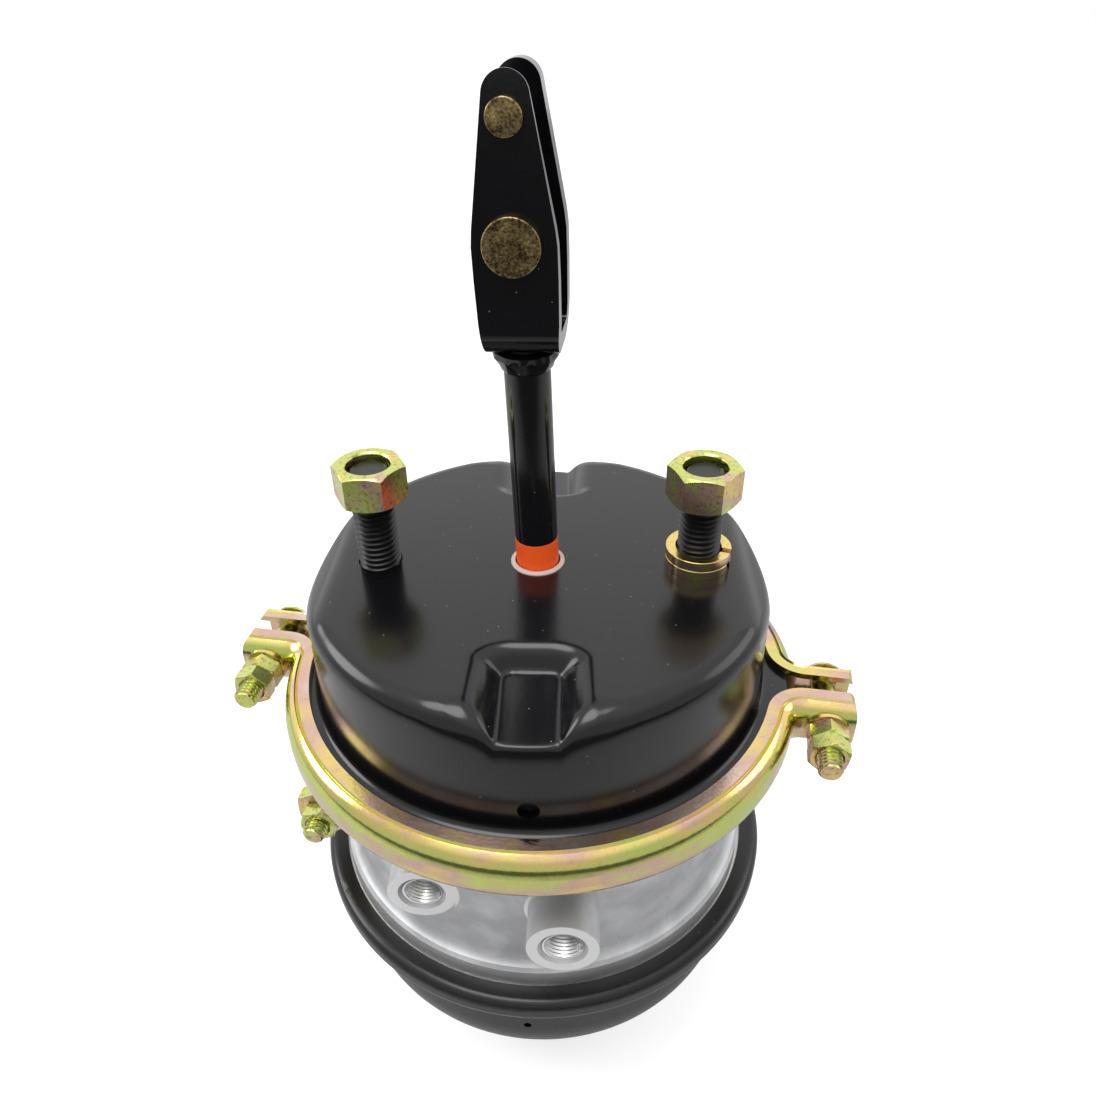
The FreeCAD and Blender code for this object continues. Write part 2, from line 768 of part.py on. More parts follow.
def flange_case():
    body = turn_profile(
        [
            (0.0, case_top_z),
            (flange_r - 0.3, case_top_z),
            (flange_r - 0.3, case_flange_bottom_z),
            (case_r + 3.0, case_flange_bottom_z),
            (case_r, case_flange_bottom_z - 3.0),
            (case_r, case_lip_top_z + case_cove_r + 1.0),
            *arc(case_r + case_cove_r, case_lip_top_z + case_cove_r + 1.0, case_cove_r, 180, 245),
            (case_lip_r, case_lip_top_z),
            (case_lip_r, case_foot_top_z),
            (case_foot_r, case_foot_top_z),
            (case_foot_r, case_foot_bottom_z),
            (0.0, case_foot_bottom_z),
        ]
    )
    ports = (
        (left_port_x, left_port_face_y, left_port_depth),
        (right_port_x, right_port_face_y, right_port_depth),
    )
    back_way = vec(0, 1, 0)
    for x, face_y, depth in ports:
        boss_length = 34.5 - face_y - case_r
        body = body.fuse(Part.makeCylinder(port_boss_r, boss_length, vec(x, face_y, port_z), back_way))
        spot = Part.makeCylinder(spot_r, 30, vec(x, face_y - 30, port_z), back_way)
        body = body.cut(spot)
    store_length = store_boss_back_y - store_boss_front_y
    pocket_front = vec(store_x, store_boss_front_y, store_z)
    pocket = Part.makeCylinder(store_boss_r, store_length, pocket_front, back_way)
    web = box(
        store_x,
        15.2 + store_x,
        store_boss_front_y,
        store_boss_back_y,
        store_z - store_boss_r * 0.8,
        store_z + store_boss_r * 0.8,
    )
    body = body.fuse(on_clamp(pocket.fuse(web)))
    collar_room = store_collar_af / 2 / math.cos(math.radians(30)) + 0.4
    spot = Part.makeCylinder(collar_room, 40, vec(store_x, store_boss_front_y - 40, store_z), back_way)
    body = body.cut(on_clamp(spot))
    bowl = turn_profile(
        [
            (0.0, case_top_z + 6.5),
            (service_bowl_r + 2.0, case_top_z + 6.5),
            (service_bowl_r + 2.0, case_top_z),
            (service_bowl_r, case_top_z - 2.0),
            (service_bowl_r, service_floor_z + 15.0),
            *arc(service_bowl_r - 15.0, service_floor_z + 15.0, 15.0, 0, -90),
            (0.0, service_floor_z),
        ]
    )
    cavity = turn_profile(
        [
            (0.0, divider_bottom_z),
            (spring_cavity_r - 20.0, divider_bottom_z),
            (spring_cavity_r - 12.0, divider_bottom_z - 8.0),
            (spring_cavity_r, divider_bottom_z - 9.5),
            (spring_cavity_r, case_foot_bottom_z - 7.65),
            (0.0, case_foot_bottom_z - 7.65),
        ]
    )
    body = body.cut(bowl).cut(cavity)
    bush_room = adapter_r + running + bush_wall + 0.02
    body = body.cut(cyl(bush_room, divider_bottom_z - 19.5, service_floor_z + 10.5))
    for x, face_y, depth in ports:
        body = body.cut(Part.makeCylinder(port_bore_r, depth + 5, vec(x, face_y - 5, port_z), back_way))
        mouth = vec(x, face_y, port_z)
        body = body.cut(Part.makeCone(port_bore_r + port_sink, port_bore_r, port_sink, mouth, back_way))
    drill_y = left_port_face_y + left_port_depth - passage_r - 0.8
    body = body.cut(cyl(passage_r, port_z, service_floor_z + 12.0, left_port_x, drill_y))
    drill_y = right_port_face_y + right_port_depth - passage_r - 0.8
    body = body.cut(cyl(passage_r, divider_bottom_z - 18.0, port_z, right_port_x, drill_y))
    behind = 2 * store_length + 4.0
    ahead = vec(store_x, store_boss_front_y - 32, store_z)
    hole = Part.makeCylinder(store_bolt_r + 0.3, behind, ahead, back_way)
    return body.cut(on_clamp(hole)).removeSplitter()


def centre_bush():
    bore = adapter_r + running
    outer = bore + bush_wall
    bush = tube(outer, bore, divider_bottom_z, service_floor_z)
    for z in (service_floor_z - seal_inset, divider_bottom_z + seal_inset):
        room = seal_half_h + 0.1
        bush = bush.cut(tube(bore + seal_depth + 0.05, bore - 1, z - room, z + room))
    return bush


def rod_seal(z):
    bore = adapter_r + running
    return tube(bore + seal_depth, bore + 0.01, z - seal_half_h, z + seal_half_h)


def adapter_rod():
    base = adapter_base_z
    stub_end = base - adapter_base_t - adapter_stub_h
    body = turn_profile(
        [
            (0.0, adapter_top_z),
            (adapter_r - 1.5, adapter_top_z),
            (adapter_r, adapter_top_z - 1.5),
            (adapter_r, base),
            (adapter_base_r, base),
            (adapter_base_r, base - adapter_base_t),
            (adapter_stub_r, base - adapter_base_t),
            (adapter_stub_r, stub_end),
            (adapter_bore_r, stub_end),
            (adapter_bore_r, adapter_top_z - 12.0),
            (0.0, adapter_top_z - 12.0),
        ]
    )
    return body


def spring_diaphragm():
    top = adapter_base_z - adapter_base_t - contact
    clamped = case_foot_bottom_z - contact
    hole = adapter_stub_r + 0.1
    return turn_profile(
        [
            (hole, top),
            (pressure_plate_r + 2.0, top),
            (spring_cavity_r - 3.0, clamped + 9.0),
            (spring_cavity_r - 2.0, clamped),
            (case_foot_r - 0.4, clamped),
            (case_foot_r - 0.4, clamped - rubber),
            (spring_cavity_r - 4.0, clamped - rubber),
            (spring_cavity_r - 6.0, clamped + 5.0),
            (pressure_plate_r + 0.5, top - rubber),
            (hole, top - rubber),
        ]
    )


def pressure_plate():
    top = adapter_base_z - adapter_base_t - 2 * contact - rubber
    return turn_profile(
        [
            (adapter_stub_r + 0.1, top),
            (pressure_plate_r - 3.0, top),
            (pressure_plate_r, top - 3.0),
            (pressure_plate_r, top - pressure_plate_t - 5.5),
            (pressure_plate_r - 3.0, top - pressure_plate_t - 5.5),
            (pressure_plate_r - 3.0, top - pressure_plate_t),
            (adapter_stub_r + 0.1, top - pressure_plate_t),
        ]
    )


def adapter_nut():
    top = adapter_base_z - adapter_base_t - 3 * contact - rubber - pressure_plate_t
    return nut(adapter_nut_af, top - adapter_nut_h, top, adapter_stub_r + 0.1)


def spring_housing():
    slope = math.degrees(math.atan(0.555))
    big_x = lower_wall_r - shoulder_big_r
    foot_x = base_flat_r
    foot_r = 14.0
    foot_z = base_z + foot_r
    rim_low = rim_low_z
    roll = rim_roll_r
    roll_x = rim_r - roll

    def dish(z_base, edge):
        return [
            (dish_r + 6.0 - edge, z_base),
            (dish_r - edge, z_base + dish_depth),
            (0.0, z_base + dish_depth),
        ]

    outer = turn_profile(
        [
            (0.0, rim_top_z),
            (roll_x, rim_top_z),
            *arc(roll_x, rim_top_z - roll, roll, 90, 0),
            (rim_r, rim_low + roll),
            *arc(roll_x, rim_low + roll, roll, 0, -90),
            (lower_wall_r + 3.0, rim_low),
            *arc(lower_wall_r + 3.0, rim_low - 3.0, 3.0, 90, 180),
            (lower_wall_r, shoulder_z),
            *arc(big_x, shoulder_z, shoulder_big_r, 0, -slope),
            *arc(foot_x, foot_z, foot_r, -slope, -90),
        ]
        + dish(base_z, 0.0)
    )
    inset = lower_sheet
    inner = turn_profile(
        [
            (0.0, case_foot_bottom_z - rubber - 2 * contact),
            (case_foot_r + rim_fit, case_foot_bottom_z - rubber - 2 * contact),
            (case_foot_r + rim_fit, case_foot_top_z + contact),
            (rim_lip_in_r, case_foot_top_z + contact),
            (rim_lip_in_r, rim_top_z + 5.0),
            (0.0, rim_top_z + 5.0),
        ]
    )
    deep = turn_profile(
        [
            (0.0, case_foot_bottom_z - rubber),
            (lower_wall_r - inset + 3.0, case_foot_bottom_z - rubber),
            (lower_wall_r - inset, case_foot_bottom_z - rubber - 5.0),
            (lower_wall_r - inset, shoulder_z),
            *arc(big_x, shoulder_z, shoulder_big_r - inset, 0, -slope),
            *arc(foot_x, foot_z, foot_r - inset, -slope, -90),
        ]
        + dish(base_z + inset, -1.0)
    )
    housing = outer.cut(inner).cut(deep)
    housing = housing.cut(cyl(caging_hole_r, base_z - 5, base_z + 20))
    vent = Part.makeCylinder(vent_r, 20, vec(-3.5, -lower_wall_r - 11.5, vent_z), vec(0, 1, 0))
    return housing.cut(vent)


def dust_plug():
    z0 = base_z + dish_depth
    return turn_profile(
        [
            (0.0, z0 - 2.6),
            (caging_hole_r + 2.0, z0 - 2.6),
            (caging_hole_r + 3.5, z0 - 1.2),
            (caging_hole_r + 3.5, z0 - contact),
            (caging_hole_r - plug_fit, z0 - contact),
            (caging_hole_r - plug_fit, z0 + 5.0),
            (caging_hole_r - 2.5, z0 + 5.0),
            (caging_hole_r - 2.5, z0 + 0.5),
            (0.0, z0 + 0.5),
        ]
    )


def stored_release():
    """Release bolt with its nut and hexagon collar, lying in the side pocket, level with the clamp bolts."""
    back = store_boss_back_y + 0.05
    length = back - store_tip_y
    bolt = cyl(store_bolt_r, 0, length)
    tip = Part.makeCone(store_bolt_r + 1, store_bolt_r - 1.2, 2.2, vec(0, 0, length - 2.2), up)
    bolt = bolt.common(cyl(store_bolt_r + 1, 0, length - 2.2).fuse(tip))
    half_t = store_bolt_r - 0.05
    bolt = bolt.fuse(box(-half_t, half_t, -store_head_half, store_head_half, -store_head_h, 0))
    seat = back - store_boss_front_y + 0.05
    bore = store_bolt_r + 0.08
    collar = nut(store_collar_af, seat, seat + store_collar_h, bore, store_collar_turn)
    z1 = seat + store_collar_h + 0.05
    release_nut = nut(store_nut_af, z1, z1 + store_nut_h, store_bolt_r + thread_fit, 18)
    place = vec(store_x, back, store_z)
    return [on_clamp(aimed(s, place, vec(0, -1, 0))) for s in (bolt, collar, release_nut)]


pieces = {}
pieces["service_housing"] = service_housing()
for name, x, turn in (("left", -stud_half_span, nut_turn_left), ("right", stud_half_span, nut_turn_right)):
    stud, stud_nut = stud_parts(x, turn)
    pieces["mounting_stud_" + name] = stud
    pieces["stud_nut_" + name] = stud_nut
low_z = -spotface_depth + contact
pieces["lock_washer_lower"] = lock_washer(low_z, -24)
pieces["lock_washer_upper"] = lock_washer(low_z + lock_washer_t + washer_gap, -14)
pieces["pushrod_guide"] = pushrod_guide()
pieces["pushrod"] = pushrod()
pieces["stroke_band"] = stroke_band()
pieces["clevis"] = yoke()
pieces["clevis_weld"] = yoke_weld()
pin, cotter = yoke_pin(large_pin_t, large_pin_r, large_head_r, large_head_t, large_cotter_r)
pieces["clevis_pin_large"] = pin
pieces["cotter_pin_large"] = cotter
pin, cotter = yoke_pin(small_pin_t, small_pin_r, small_head_r, small_head_t, small_cotter_r)
pieces["clevis_pin_small"] = pin
pieces["cotter_pin_small"] = cotter
pieces["push_plate"] = push_plate()
pieces["rod_retainer"] = rod_retainer()
wire = service_wire_r
coil_in_r = hub_r + wire + 2.9
coil_top_z = -sheet - wire - coil_gap
coil_low_z = plate_top_z + wire + coil_gap
spring = coil(coil_in_r, coil_top_z, service_coil_out_r, coil_low_z, 2.75, wire, 6, 16)
pieces["service_return_spring"] = spring
pieces["service_diaphragm"] = service_diaphragm()
pieces["clamp_front"] = on_clamp(clamp_half(False))
rear_half = clamp_half(True)
rear_half.rotate(origin, up, 180)
pieces["clamp_rear"] = on_clamp(rear_half)
for name, side in (("left", -1), ("right", 1)):
    bolt, washer, first, second = clamp_hardware(side)
    pieces["clamp_bolt_" + name] = bolt
    pieces["clamp_washer_" + name] = washer
    pieces["clamp_nut_" + name] = first
    pieces["clamp_lock_nut_" + name] = second
pieces["flange_case"] = flange_case()
pieces["centre_bush"] = centre_bush()
pieces["rod_seal_upper"] = rod_seal(service_floor_z - seal_inset)
pieces["rod_seal_lower"] = rod_seal(divider_bottom_z + seal_inset)
pieces["adapter_rod"] = adapter_rod()
pieces["adapter_nut"] = adapter_nut()
wire = adapter_wire_r
coil_top_z = divider_bottom_z - wire - 0.2
coil_low_z = adapter_base_z + wire + coil_gap
spring = coil(adapter_coil_in_r, coil_top_z, adapter_coil_out_r, coil_low_z, 1.75, wire, 6, 16)
pieces["adapter_return_spring"] = spring
pieces["spring_diaphragm"] = spring_diaphragm()
pieces["pressure_plate"] = pressure_plate()
wire = power_wire_r
plate_low_z = adapter_base_z - adapter_base_t - 2 * contact - rubber - pressure_plate_t
coil_top_z = plate_low_z - wire - 3 * coil_gap
coil_low_z = base_z + lower_sheet + wire + coil_gap
spring = coil(power_coil_top_r, coil_top_z, power_coil_low_r, coil_low_z, 4.5, wire, 8, 16)
pieces["power_spring"] = spring
pieces["spring_housing"] = spring_housing()
pieces["dust_plug"] = dust_plug()
bolt, collar, release_nut = stored_release()
pieces["release_bolt"] = bolt
pieces["release_collar"] = collar
pieces["release_nut"] = release_nut

os.makedirs("parts", exist_ok=True)
for name, shape in pieces.items():
    if shape.ShapeType == "Compound" and len(shape.Solids) == 1:
        shape = shape.Solids[0]
    if len(shape.Solids) != 1 or not shape.isValid():
        print("check", name, shape.ShapeType, len(shape.Solids), shape.isValid())
    shape.exportStep("parts/" + name + ".step")
print(len(pieces), "pieces")
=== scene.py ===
"""Finishes, threads, studio and camera for a spring brake chamber that stands on its spring housing."""
import json
import math

import bmesh
import bpy
from bmesh.types import BMEdge, BMFace, BMVert
from bpy.props import FloatProperty, FloatVectorProperty, IntProperty, PointerProperty
from mathutils import Matrix, Vector, noise


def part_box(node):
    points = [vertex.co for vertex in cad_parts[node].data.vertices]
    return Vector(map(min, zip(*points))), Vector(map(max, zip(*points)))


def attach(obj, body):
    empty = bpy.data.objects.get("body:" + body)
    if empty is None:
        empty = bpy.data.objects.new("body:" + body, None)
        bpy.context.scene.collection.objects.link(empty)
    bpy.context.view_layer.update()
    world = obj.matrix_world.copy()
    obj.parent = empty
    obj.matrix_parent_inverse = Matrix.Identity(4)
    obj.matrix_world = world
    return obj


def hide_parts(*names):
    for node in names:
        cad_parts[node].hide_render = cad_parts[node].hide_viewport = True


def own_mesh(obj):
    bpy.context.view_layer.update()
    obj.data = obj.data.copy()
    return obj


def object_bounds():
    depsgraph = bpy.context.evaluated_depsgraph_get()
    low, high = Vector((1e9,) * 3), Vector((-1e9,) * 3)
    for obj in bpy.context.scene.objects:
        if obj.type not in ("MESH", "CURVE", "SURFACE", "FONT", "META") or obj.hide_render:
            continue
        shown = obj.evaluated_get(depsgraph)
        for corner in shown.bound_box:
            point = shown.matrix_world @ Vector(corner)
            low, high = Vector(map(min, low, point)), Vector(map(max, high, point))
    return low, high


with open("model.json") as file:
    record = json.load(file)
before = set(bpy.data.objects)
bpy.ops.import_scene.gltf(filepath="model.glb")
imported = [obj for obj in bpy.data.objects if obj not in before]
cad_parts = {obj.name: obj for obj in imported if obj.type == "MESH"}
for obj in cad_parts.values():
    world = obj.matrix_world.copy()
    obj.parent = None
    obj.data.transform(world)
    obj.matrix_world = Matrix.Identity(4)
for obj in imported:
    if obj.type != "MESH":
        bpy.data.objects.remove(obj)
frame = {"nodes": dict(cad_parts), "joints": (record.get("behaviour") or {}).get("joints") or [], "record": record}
cad_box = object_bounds()

bl_info = {
    "name": "Brake Chamber Dressing",
    "version": (1, 0, 0),
    "blender": (4, 5, 0),
    "location": "View3D > Sidebar > Brake Chamber",
    "description": "Paint, plating, casting, threads and studio for a spring brake chamber",
    "category": "Object",
}

MM = 0.001
SIDES = ("left", "right")
joints = {joint["name"]: joint for joint in frame["joints"]}


def color_property(name, description, default):
    return FloatVectorProperty(
        name=name, description=description, size=3, subtype="COLOR", min=0.0, max=1.0, default=default
    )


def number_property(name, description, default, **kind):
    return FloatProperty(name=name, description=description, precision=5, default=default, **kind)


def length_property(name, description, millimetres):
    return number_property(name, description, millimetres * MM, unit="LENGTH")


class FinishSettings(bpy.types.PropertyGroup):
    """Base colours of the chamber's finishes."""

    paint: color_property("Black paint", "Cup, studs and spring housing", (0.003, 0.003, 0.004))
    paint_dust: color_property("Dust on paint", "Specks that lie on the black paint", (0.16, 0.16, 0.17))
    rod_paint: color_property("Rod paint", "Push rod and yoke", (0.003, 0.003, 0.004))
    casting: color_property("Cast aluminium", "Flange case as cast", (0.64, 0.645, 0.66))
    machined: color_property("Machined aluminium", "Port faces and lip", (0.86, 0.86, 0.86))
    # Zinc film colours; the zinc group also lays them out by facing, as painted reflection.
    plating_yellow: color_property("Plating yellow", "Yellow of the passivated zinc", (0.80, 0.61, 0.22))
    plating_lime: color_property("Plating green", "Green sheen of the zinc", (0.60, 0.66, 0.19))
    plating_pink: color_property("Plating pink", "Pink sheen of the zinc", (0.66, 0.44, 0.36))
    plating_pale: color_property("Plating pale", "Whitish sheen of the zinc", (0.78, 0.76, 0.62))
    plating_brown: color_property("Plating brown", "Brown grain of the zinc", (0.27, 0.20, 0.09))
    band: color_property("Stroke band", "Orange over-stroke mark", (0.90, 0.10, 0.01))
    guide: color_property("Guide ring", "White plastic of the rod guide", (0.52, 0.42, 0.39))
    rubber: color_property("Rubber", "Diaphragms, seals and dust plug", (0.02, 0.02, 0.02))
    spring: color_property("Spring steel", "Oiled springs inside", (0.10, 0.10, 0.11))
    steel: color_property("Plain steel", "Plates inside", (0.42, 0.41, 0.40))


class ThreadSettings(bpy.types.PropertyGroup):
    """Sizes of the threads, which the frame holds as plain cylinders."""

    stud_radius: length_property("Stud radius", "Outside of the stud thread", 7.9375)
    stud_pitch: length_property("Stud pitch", "Pitch of the mounting studs", 2.309)
    stud_depth: length_property("Stud thread depth", "Depth of the stud thread", 1.15)
    bolt_radius: length_property("Bolt radius", "Outside of the bolt thread", 4.7625)
    bolt_pitch: length_property("Bolt pitch", "Pitch of the clamp and release bolts", 1.5875)
    bolt_depth: length_property("Bolt thread depth", "Depth of the bolt thread", 0.8)
    port_pitch: length_property("Port pitch", "Pitch of the pipe threads", 1.411)
    port_depth: length_property("Port thread depth", "Depth of the pipe threads", 0.85)
    steps: IntProperty(name="Steps", description="Facets round one turn", min=16, max=96, default=48)


class StudioSettings(bpy.types.PropertyGroup):
    """Where the camera stands and how bright the studio is."""

    camera_place: FloatVectorProperty(
        name="Camera place",
        description="Where the camera stands",
        size=3,
        subtype="TRANSLATION",
        unit="LENGTH",
        precision=5,
        default=(0.01623, -0.28656, 0.20184),
    )
    camera_pitch: number_property("Camera pitch", "How far the camera looks down", 0.5997, subtype="ANGLE")
    camera_yaw: number_property("Camera yaw", "How far the camera turns left", 0.04294, subtype="ANGLE")
    camera_roll: number_property("Camera roll", "How far the camera tips", -0.01535, subtype="ANGLE")
    lens: number_property("Focal length", "On a 36 mm sensor", 30.23)
    ceiling: number_property("Ceiling", "Brightness overhead in reflections", 1.15)
    room: number_property("Room", "Brightness of the room in reflections", 0.65)
    fill: number_property("Fill", "Even light on dull surfaces", 1.05)
    floor_radius: length_property("Floor radius", "Reach of the floor", 4000.0)
    floor_gap: length_property("Floor gap", "Room between the object and the floor", 0.2)
    floor_glow: number_property("Floor glow", "White that the camera sees on the sheet", 0.62)
    # The sheet's darkening from here outward and the dark floor beyond it are painted shade.
    shade_start: length_property("Shade start", "Where the white sheet starts to darken", 200.0)
    sheet_edge: length_property("White sheet", "Reach of the white sheet in front", 420.0)
    sheet_fade: length_property("Sheet fade", "Width of the sheet's soft edge", 160.0)


def link_nodes(tree):
    """A short way to add nodes to a tree: make(type, inputs by name or number, settings by keyword)."""

    def make(kind, inputs=None, **settings):
        node = tree.nodes.new(kind)
        for key, value in settings.items():
            setattr(node, key, value)
        for key, value in (inputs or {}).items():
            socket = node.inputs[key]
            if isinstance(value, bpy.types.NodeSocket):
                tree.links.new(value, socket)
            else:
                socket.default_value = value
        return node

    return make


def feed(node, label, value):
    """Connects a value to a node's input."""
    node.id_data.links.new(value, node.inputs[label])


def ramp(make, fac, stops):
    """A colour ramp from (position, colour) stops."""
    node = make("ShaderNodeValToRGB", {"Fac": fac})
    band = node.color_ramp
    for position, color in stops[2:]:
        band.elements.new(position)
    for element, (position, color) in zip(band.elements, stops):
        element.position = position
        element.color = (*color, 1.0)
    return node.outputs["Color"]


def noise_level(make, place, scale, detail):
    """Noise between 0 and 1."""
    inputs = {"Vector": place, "Scale": scale, "Detail": detail}
    return make("ShaderNodeTexNoise", inputs).outputs["Fac"]


def shade(color, factor):
    """A darker or lighter kind of a colour."""
    return tuple(min(1.0, channel * factor) for channel in color)


def calc(make, operation, *values):
    """One sum of a material, such as ADD or MULTIPLY_ADD."""
    return make("ShaderNodeMath", dict(enumerate(values)), operation=operation).outputs[0]


def step_up(make, value, low, high):
    """0 below low, 1 above high and a smooth rise between."""
    inputs = {"Value": value, "From Min": low, "From Max": high}
    return make("ShaderNodeMapRange", inputs, interpolation_type="SMOOTHSTEP").outputs["Result"]


def mix_color(make, fac, a, b):
    node = make("ShaderNodeMix", None, data_type="RGBA")
    for name, value in {"Factor": fac, "A": a, "B": b}.items():
        socket = next(s for s in node.inputs if s.name == name and s.enabled)
        if isinstance(value, bpy.types.NodeSocket):
            node.id_data.links.new(value, socket)
        elif name == "Factor":
            socket.default_value = value
        else:
            socket.default_value = (*value, 1.0) if len(value) == 3 else value
    return next(s for s in node.outputs if s.enabled)


def new_group(name, inputs, outputs):
    """A node group with named sockets; returns its tree, make, and its input and output nodes."""
    tree = bpy.data.node_groups.new(name, "ShaderNodeTree")
    for label, default in inputs.items():
        socket = tree.interface.new_socket(label, in_out="INPUT", socket_type="NodeSocketFloat")
        socket.default_value = default
    for label in outputs:
        kind = "NodeSocketColor" if label == "Color" else "NodeSocketFloat"
        tree.interface.new_socket(label, in_out="OUTPUT", socket_type=kind)
    make = link_nodes(tree)
    return tree, make, make("NodeGroupInput"), make("NodeGroupOutput")


def plating_group(finish):
    """Iridescent passivated zinc: film colours by slow noise, with a fine brown grain, and a painted reflection
    that shifts the colour by which way the surface faces.
    """
    tree, make, given, result = new_group(
        "Zinc film and painted reflection",
        {"Film Scale": 38.0, "Grain Scale": 900.0, "Grain": 0.3, "Facing": 0.6, "Dullness": 0.06},
        ("Color", "Roughness", "Height"),
    )
    place = make("ShaderNodeTexCoord")
    facing = make("ShaderNodeSeparateXYZ", {0: place.outputs["Normal"]}).outputs["Z"]
    film = noise_level(make, place.outputs["Object"], given.outputs["Film Scale"], 3.0)
    # Painted reflection: faces up, sideways and down take different bands, as if they reflected bright and dark
    # surroundings.
    reflection_shift = calc(make, "MULTIPLY", facing, given.outputs["Facing"])
    reflection_shift = calc(make, "MULTIPLY_ADD", reflection_shift, 0.42, 0.42)
    wander = calc(make, "MULTIPLY_ADD", film, 0.84, -0.42)
    film_and_reflection = calc(make, "ADD", reflection_shift, wander)
    # The bands are the zinc film's colours; through the facing shift they also give the painted reflection.
    stops = (
        (0.0, finish.plating_pale),
        (0.2, finish.plating_yellow),
        (0.32, finish.plating_yellow),
        (0.41, finish.plating_pink),
        (0.5, finish.plating_lime),
        (0.62, finish.plating_lime),
        (0.72, finish.plating_yellow),
        (0.82, finish.plating_pink),
        (1.0, finish.plating_pale),
    )
    hue = ramp(make, film_and_reflection, stops)
    grain = noise_level(make, place.outputs["Object"], given.outputs["Grain Scale"], 5.0)
    spots = step_up(make, grain, 0.5, 0.72)
    spots = calc(make, "MULTIPLY", spots, given.outputs["Grain"])
    color = mix_color(make, spots, hue, finish.plating_brown)
    rough = calc(make, "MULTIPLY_ADD", grain, 0.2, given.outputs["Dullness"])
    feed(result, "Color", color)
    feed(result, "Roughness", rough)
    feed(result, "Height", grain)
    return tree


def speck_group():
    """Dust specks and faint cloudiness on paint."""
    tree, make, given, result = new_group(
        "Paint specks",
        {"Speck Scale": 260.0, "Speck Size": 0.06, "Peel Scale": 420.0},
        ("Specks", "Cloud", "Height"),
    )
    place = make("ShaderNodeTexCoord").outputs["Object"]
    cells = make("ShaderNodeTexVoronoi", {"Vector": place, "Scale": given.outputs["Speck Scale"]})
    near = calc(make, "LESS_THAN", cells.outputs["Distance"], given.outputs["Speck Size"])
    chance = make("ShaderNodeSeparateColor", {0: cells.outputs["Color"]}).outputs[0]
    chosen = calc(make, "GREATER_THAN", chance, 0.72)
    specks = calc(make, "MULTIPLY", near, chosen)
    cloud = noise_level(make, place, 22.0, 4.0)
    peel = noise_level(make, place, given.outputs["Peel Scale"], 2.0)
    feed(result, "Specks", specks)
    feed(result, "Cloud", cloud)
    feed(result, "Height", peel)
    return tree


def casting_group(finish):
    """Die cast aluminium: flow marks, fine grain and pits."""
    outputs = ("Color", "Roughness", "Height")
    tree, make, given, result = new_group("Die casting", {"Grain Scale": 700.0}, outputs)
    place = make("ShaderNodeTexCoord").outputs["Object"]
    stretch = make("ShaderNodeMapping", {"Vector": place, "Scale": (1.0, 1.0, 1.3)}).outputs["Vector"]
    flow = make("ShaderNodeTexNoise", {"Vector": stretch, "Scale": 48.0, "Detail": 8.0, "Distortion": 0.3})
    grain = noise_level(make, place, given.outputs["Grain Scale"], 4.0)
    stain = step_up(make, flow.outputs["Fac"], 0.35, 0.68)
    color = mix_color(make, stain, shade(finish.casting, 0.8), shade(finish.casting, 1.08))
    pit = calc(make, "MULTIPLY", step_up(make, grain, 0.62, 0.75), 0.35)
    color = mix_color(make, pit, color, shade(finish.casting, 0.45))
    rough = calc(make, "MULTIPLY_ADD", flow.outputs["Fac"], 0.2, 0.46)
    feed(result, "Color", color)
    feed(result, "Roughness", rough)
    feed(result, "Height", grain)
    return tree


def use_group(make, tree, **values):
    node = make("ShaderNodeGroup")
    node.node_tree = tree
    for label, value in values.items():
        node.inputs[label.replace("_", " ")].default_value = value
    return node


def new_material(name, rough, metal=0.0):
    """A material with its Principled shader set; returns material, make and shader."""
    material = bpy.data.materials.new(name)
    material.use_nodes = True
    shader = material.node_tree.nodes["Principled BSDF"]
    shader.inputs["Roughness"].default_value = rough
    shader.inputs["Metallic"].default_value = metal
    return material, link_nodes(material.node_tree), shader


def coat(make, shader, color, rough, height, strength, distance=0.4 * MM):
    """Feeds a shader its colour, its roughness and a bump."""
    feed(shader, "Base Color", color)
    feed(shader, "Roughness", rough)
    inputs = {"Height": height, "Strength": strength, "Distance": distance}
    feed(shader, "Normal", make("ShaderNodeBump", inputs).outputs["Normal"])


def paint_material(name, color, dust, rough, specks, peel=0.05):
    """Glossy black enamel with dust specks and a faint orange peel."""
    material, make, shader = new_material(name, rough)
    marks = use_group(make, specks, Peel_Scale=520.0)
    dusted = mix_color(make, marks.outputs["Specks"], color, dust)
    level = calc(make, "MULTIPLY_ADD", marks.outputs["Cloud"], 0.1, rough - 0.05)
    level = calc(make, "MULTIPLY_ADD", marks.outputs["Specks"], 0.4, level)
    coat(make, shader, dusted, level, marks.outputs["Height"], peel, 0.3 * MM)
    return material


def plating_material(name, plating, **look):
    """Yellow zinc in one of its looks, which the group's inputs give, painted reflection included."""
    material, make, shader = new_material(name, 0.25, 1.0)
    skin = use_group(make, plating, **look)
    coat(make, shader, skin.outputs["Color"], skin.outputs["Roughness"], skin.outputs["Height"], 0.08)
    return material


def plain_material(name, color, rough, metal=0.0, grain=0.15, scale=300.0):
    """A dull finish with slight mottling, for hidden or small parts."""
    material, make, shader = new_material(name, rough, metal)
    place = make("ShaderNodeTexCoord").outputs["Object"]
    spots = noise_level(make, place, scale, 4.0)
    mottled = mix_color(make, spots, shade(color, 1 - grain), shade(color, 1 + grain))
    coat(make, shader, mottled, calc(make, "MULTIPLY_ADD", spots, 0.15, rough - 0.07), spots, 0.06, 0.3 * MM)
    return material


def disc_mask(make, position, centre, radius):
    """Distance from a line through centre along Y, and 1 where that is within radius."""
    offset = make("ShaderNodeVectorMath", {0: position, 1: centre}, operation="SUBTRACT").outputs[0]
    flatten = make("ShaderNodeVectorMath", {0: offset, 1: (1.0, 0.0, 1.0)}, operation="MULTIPLY").outputs[0]
    reach = make("ShaderNodeVectorMath", {0: flatten}, operation="LENGTH").outputs["Value"]
    return reach, calc(make, "LESS_THAN", reach, radius)


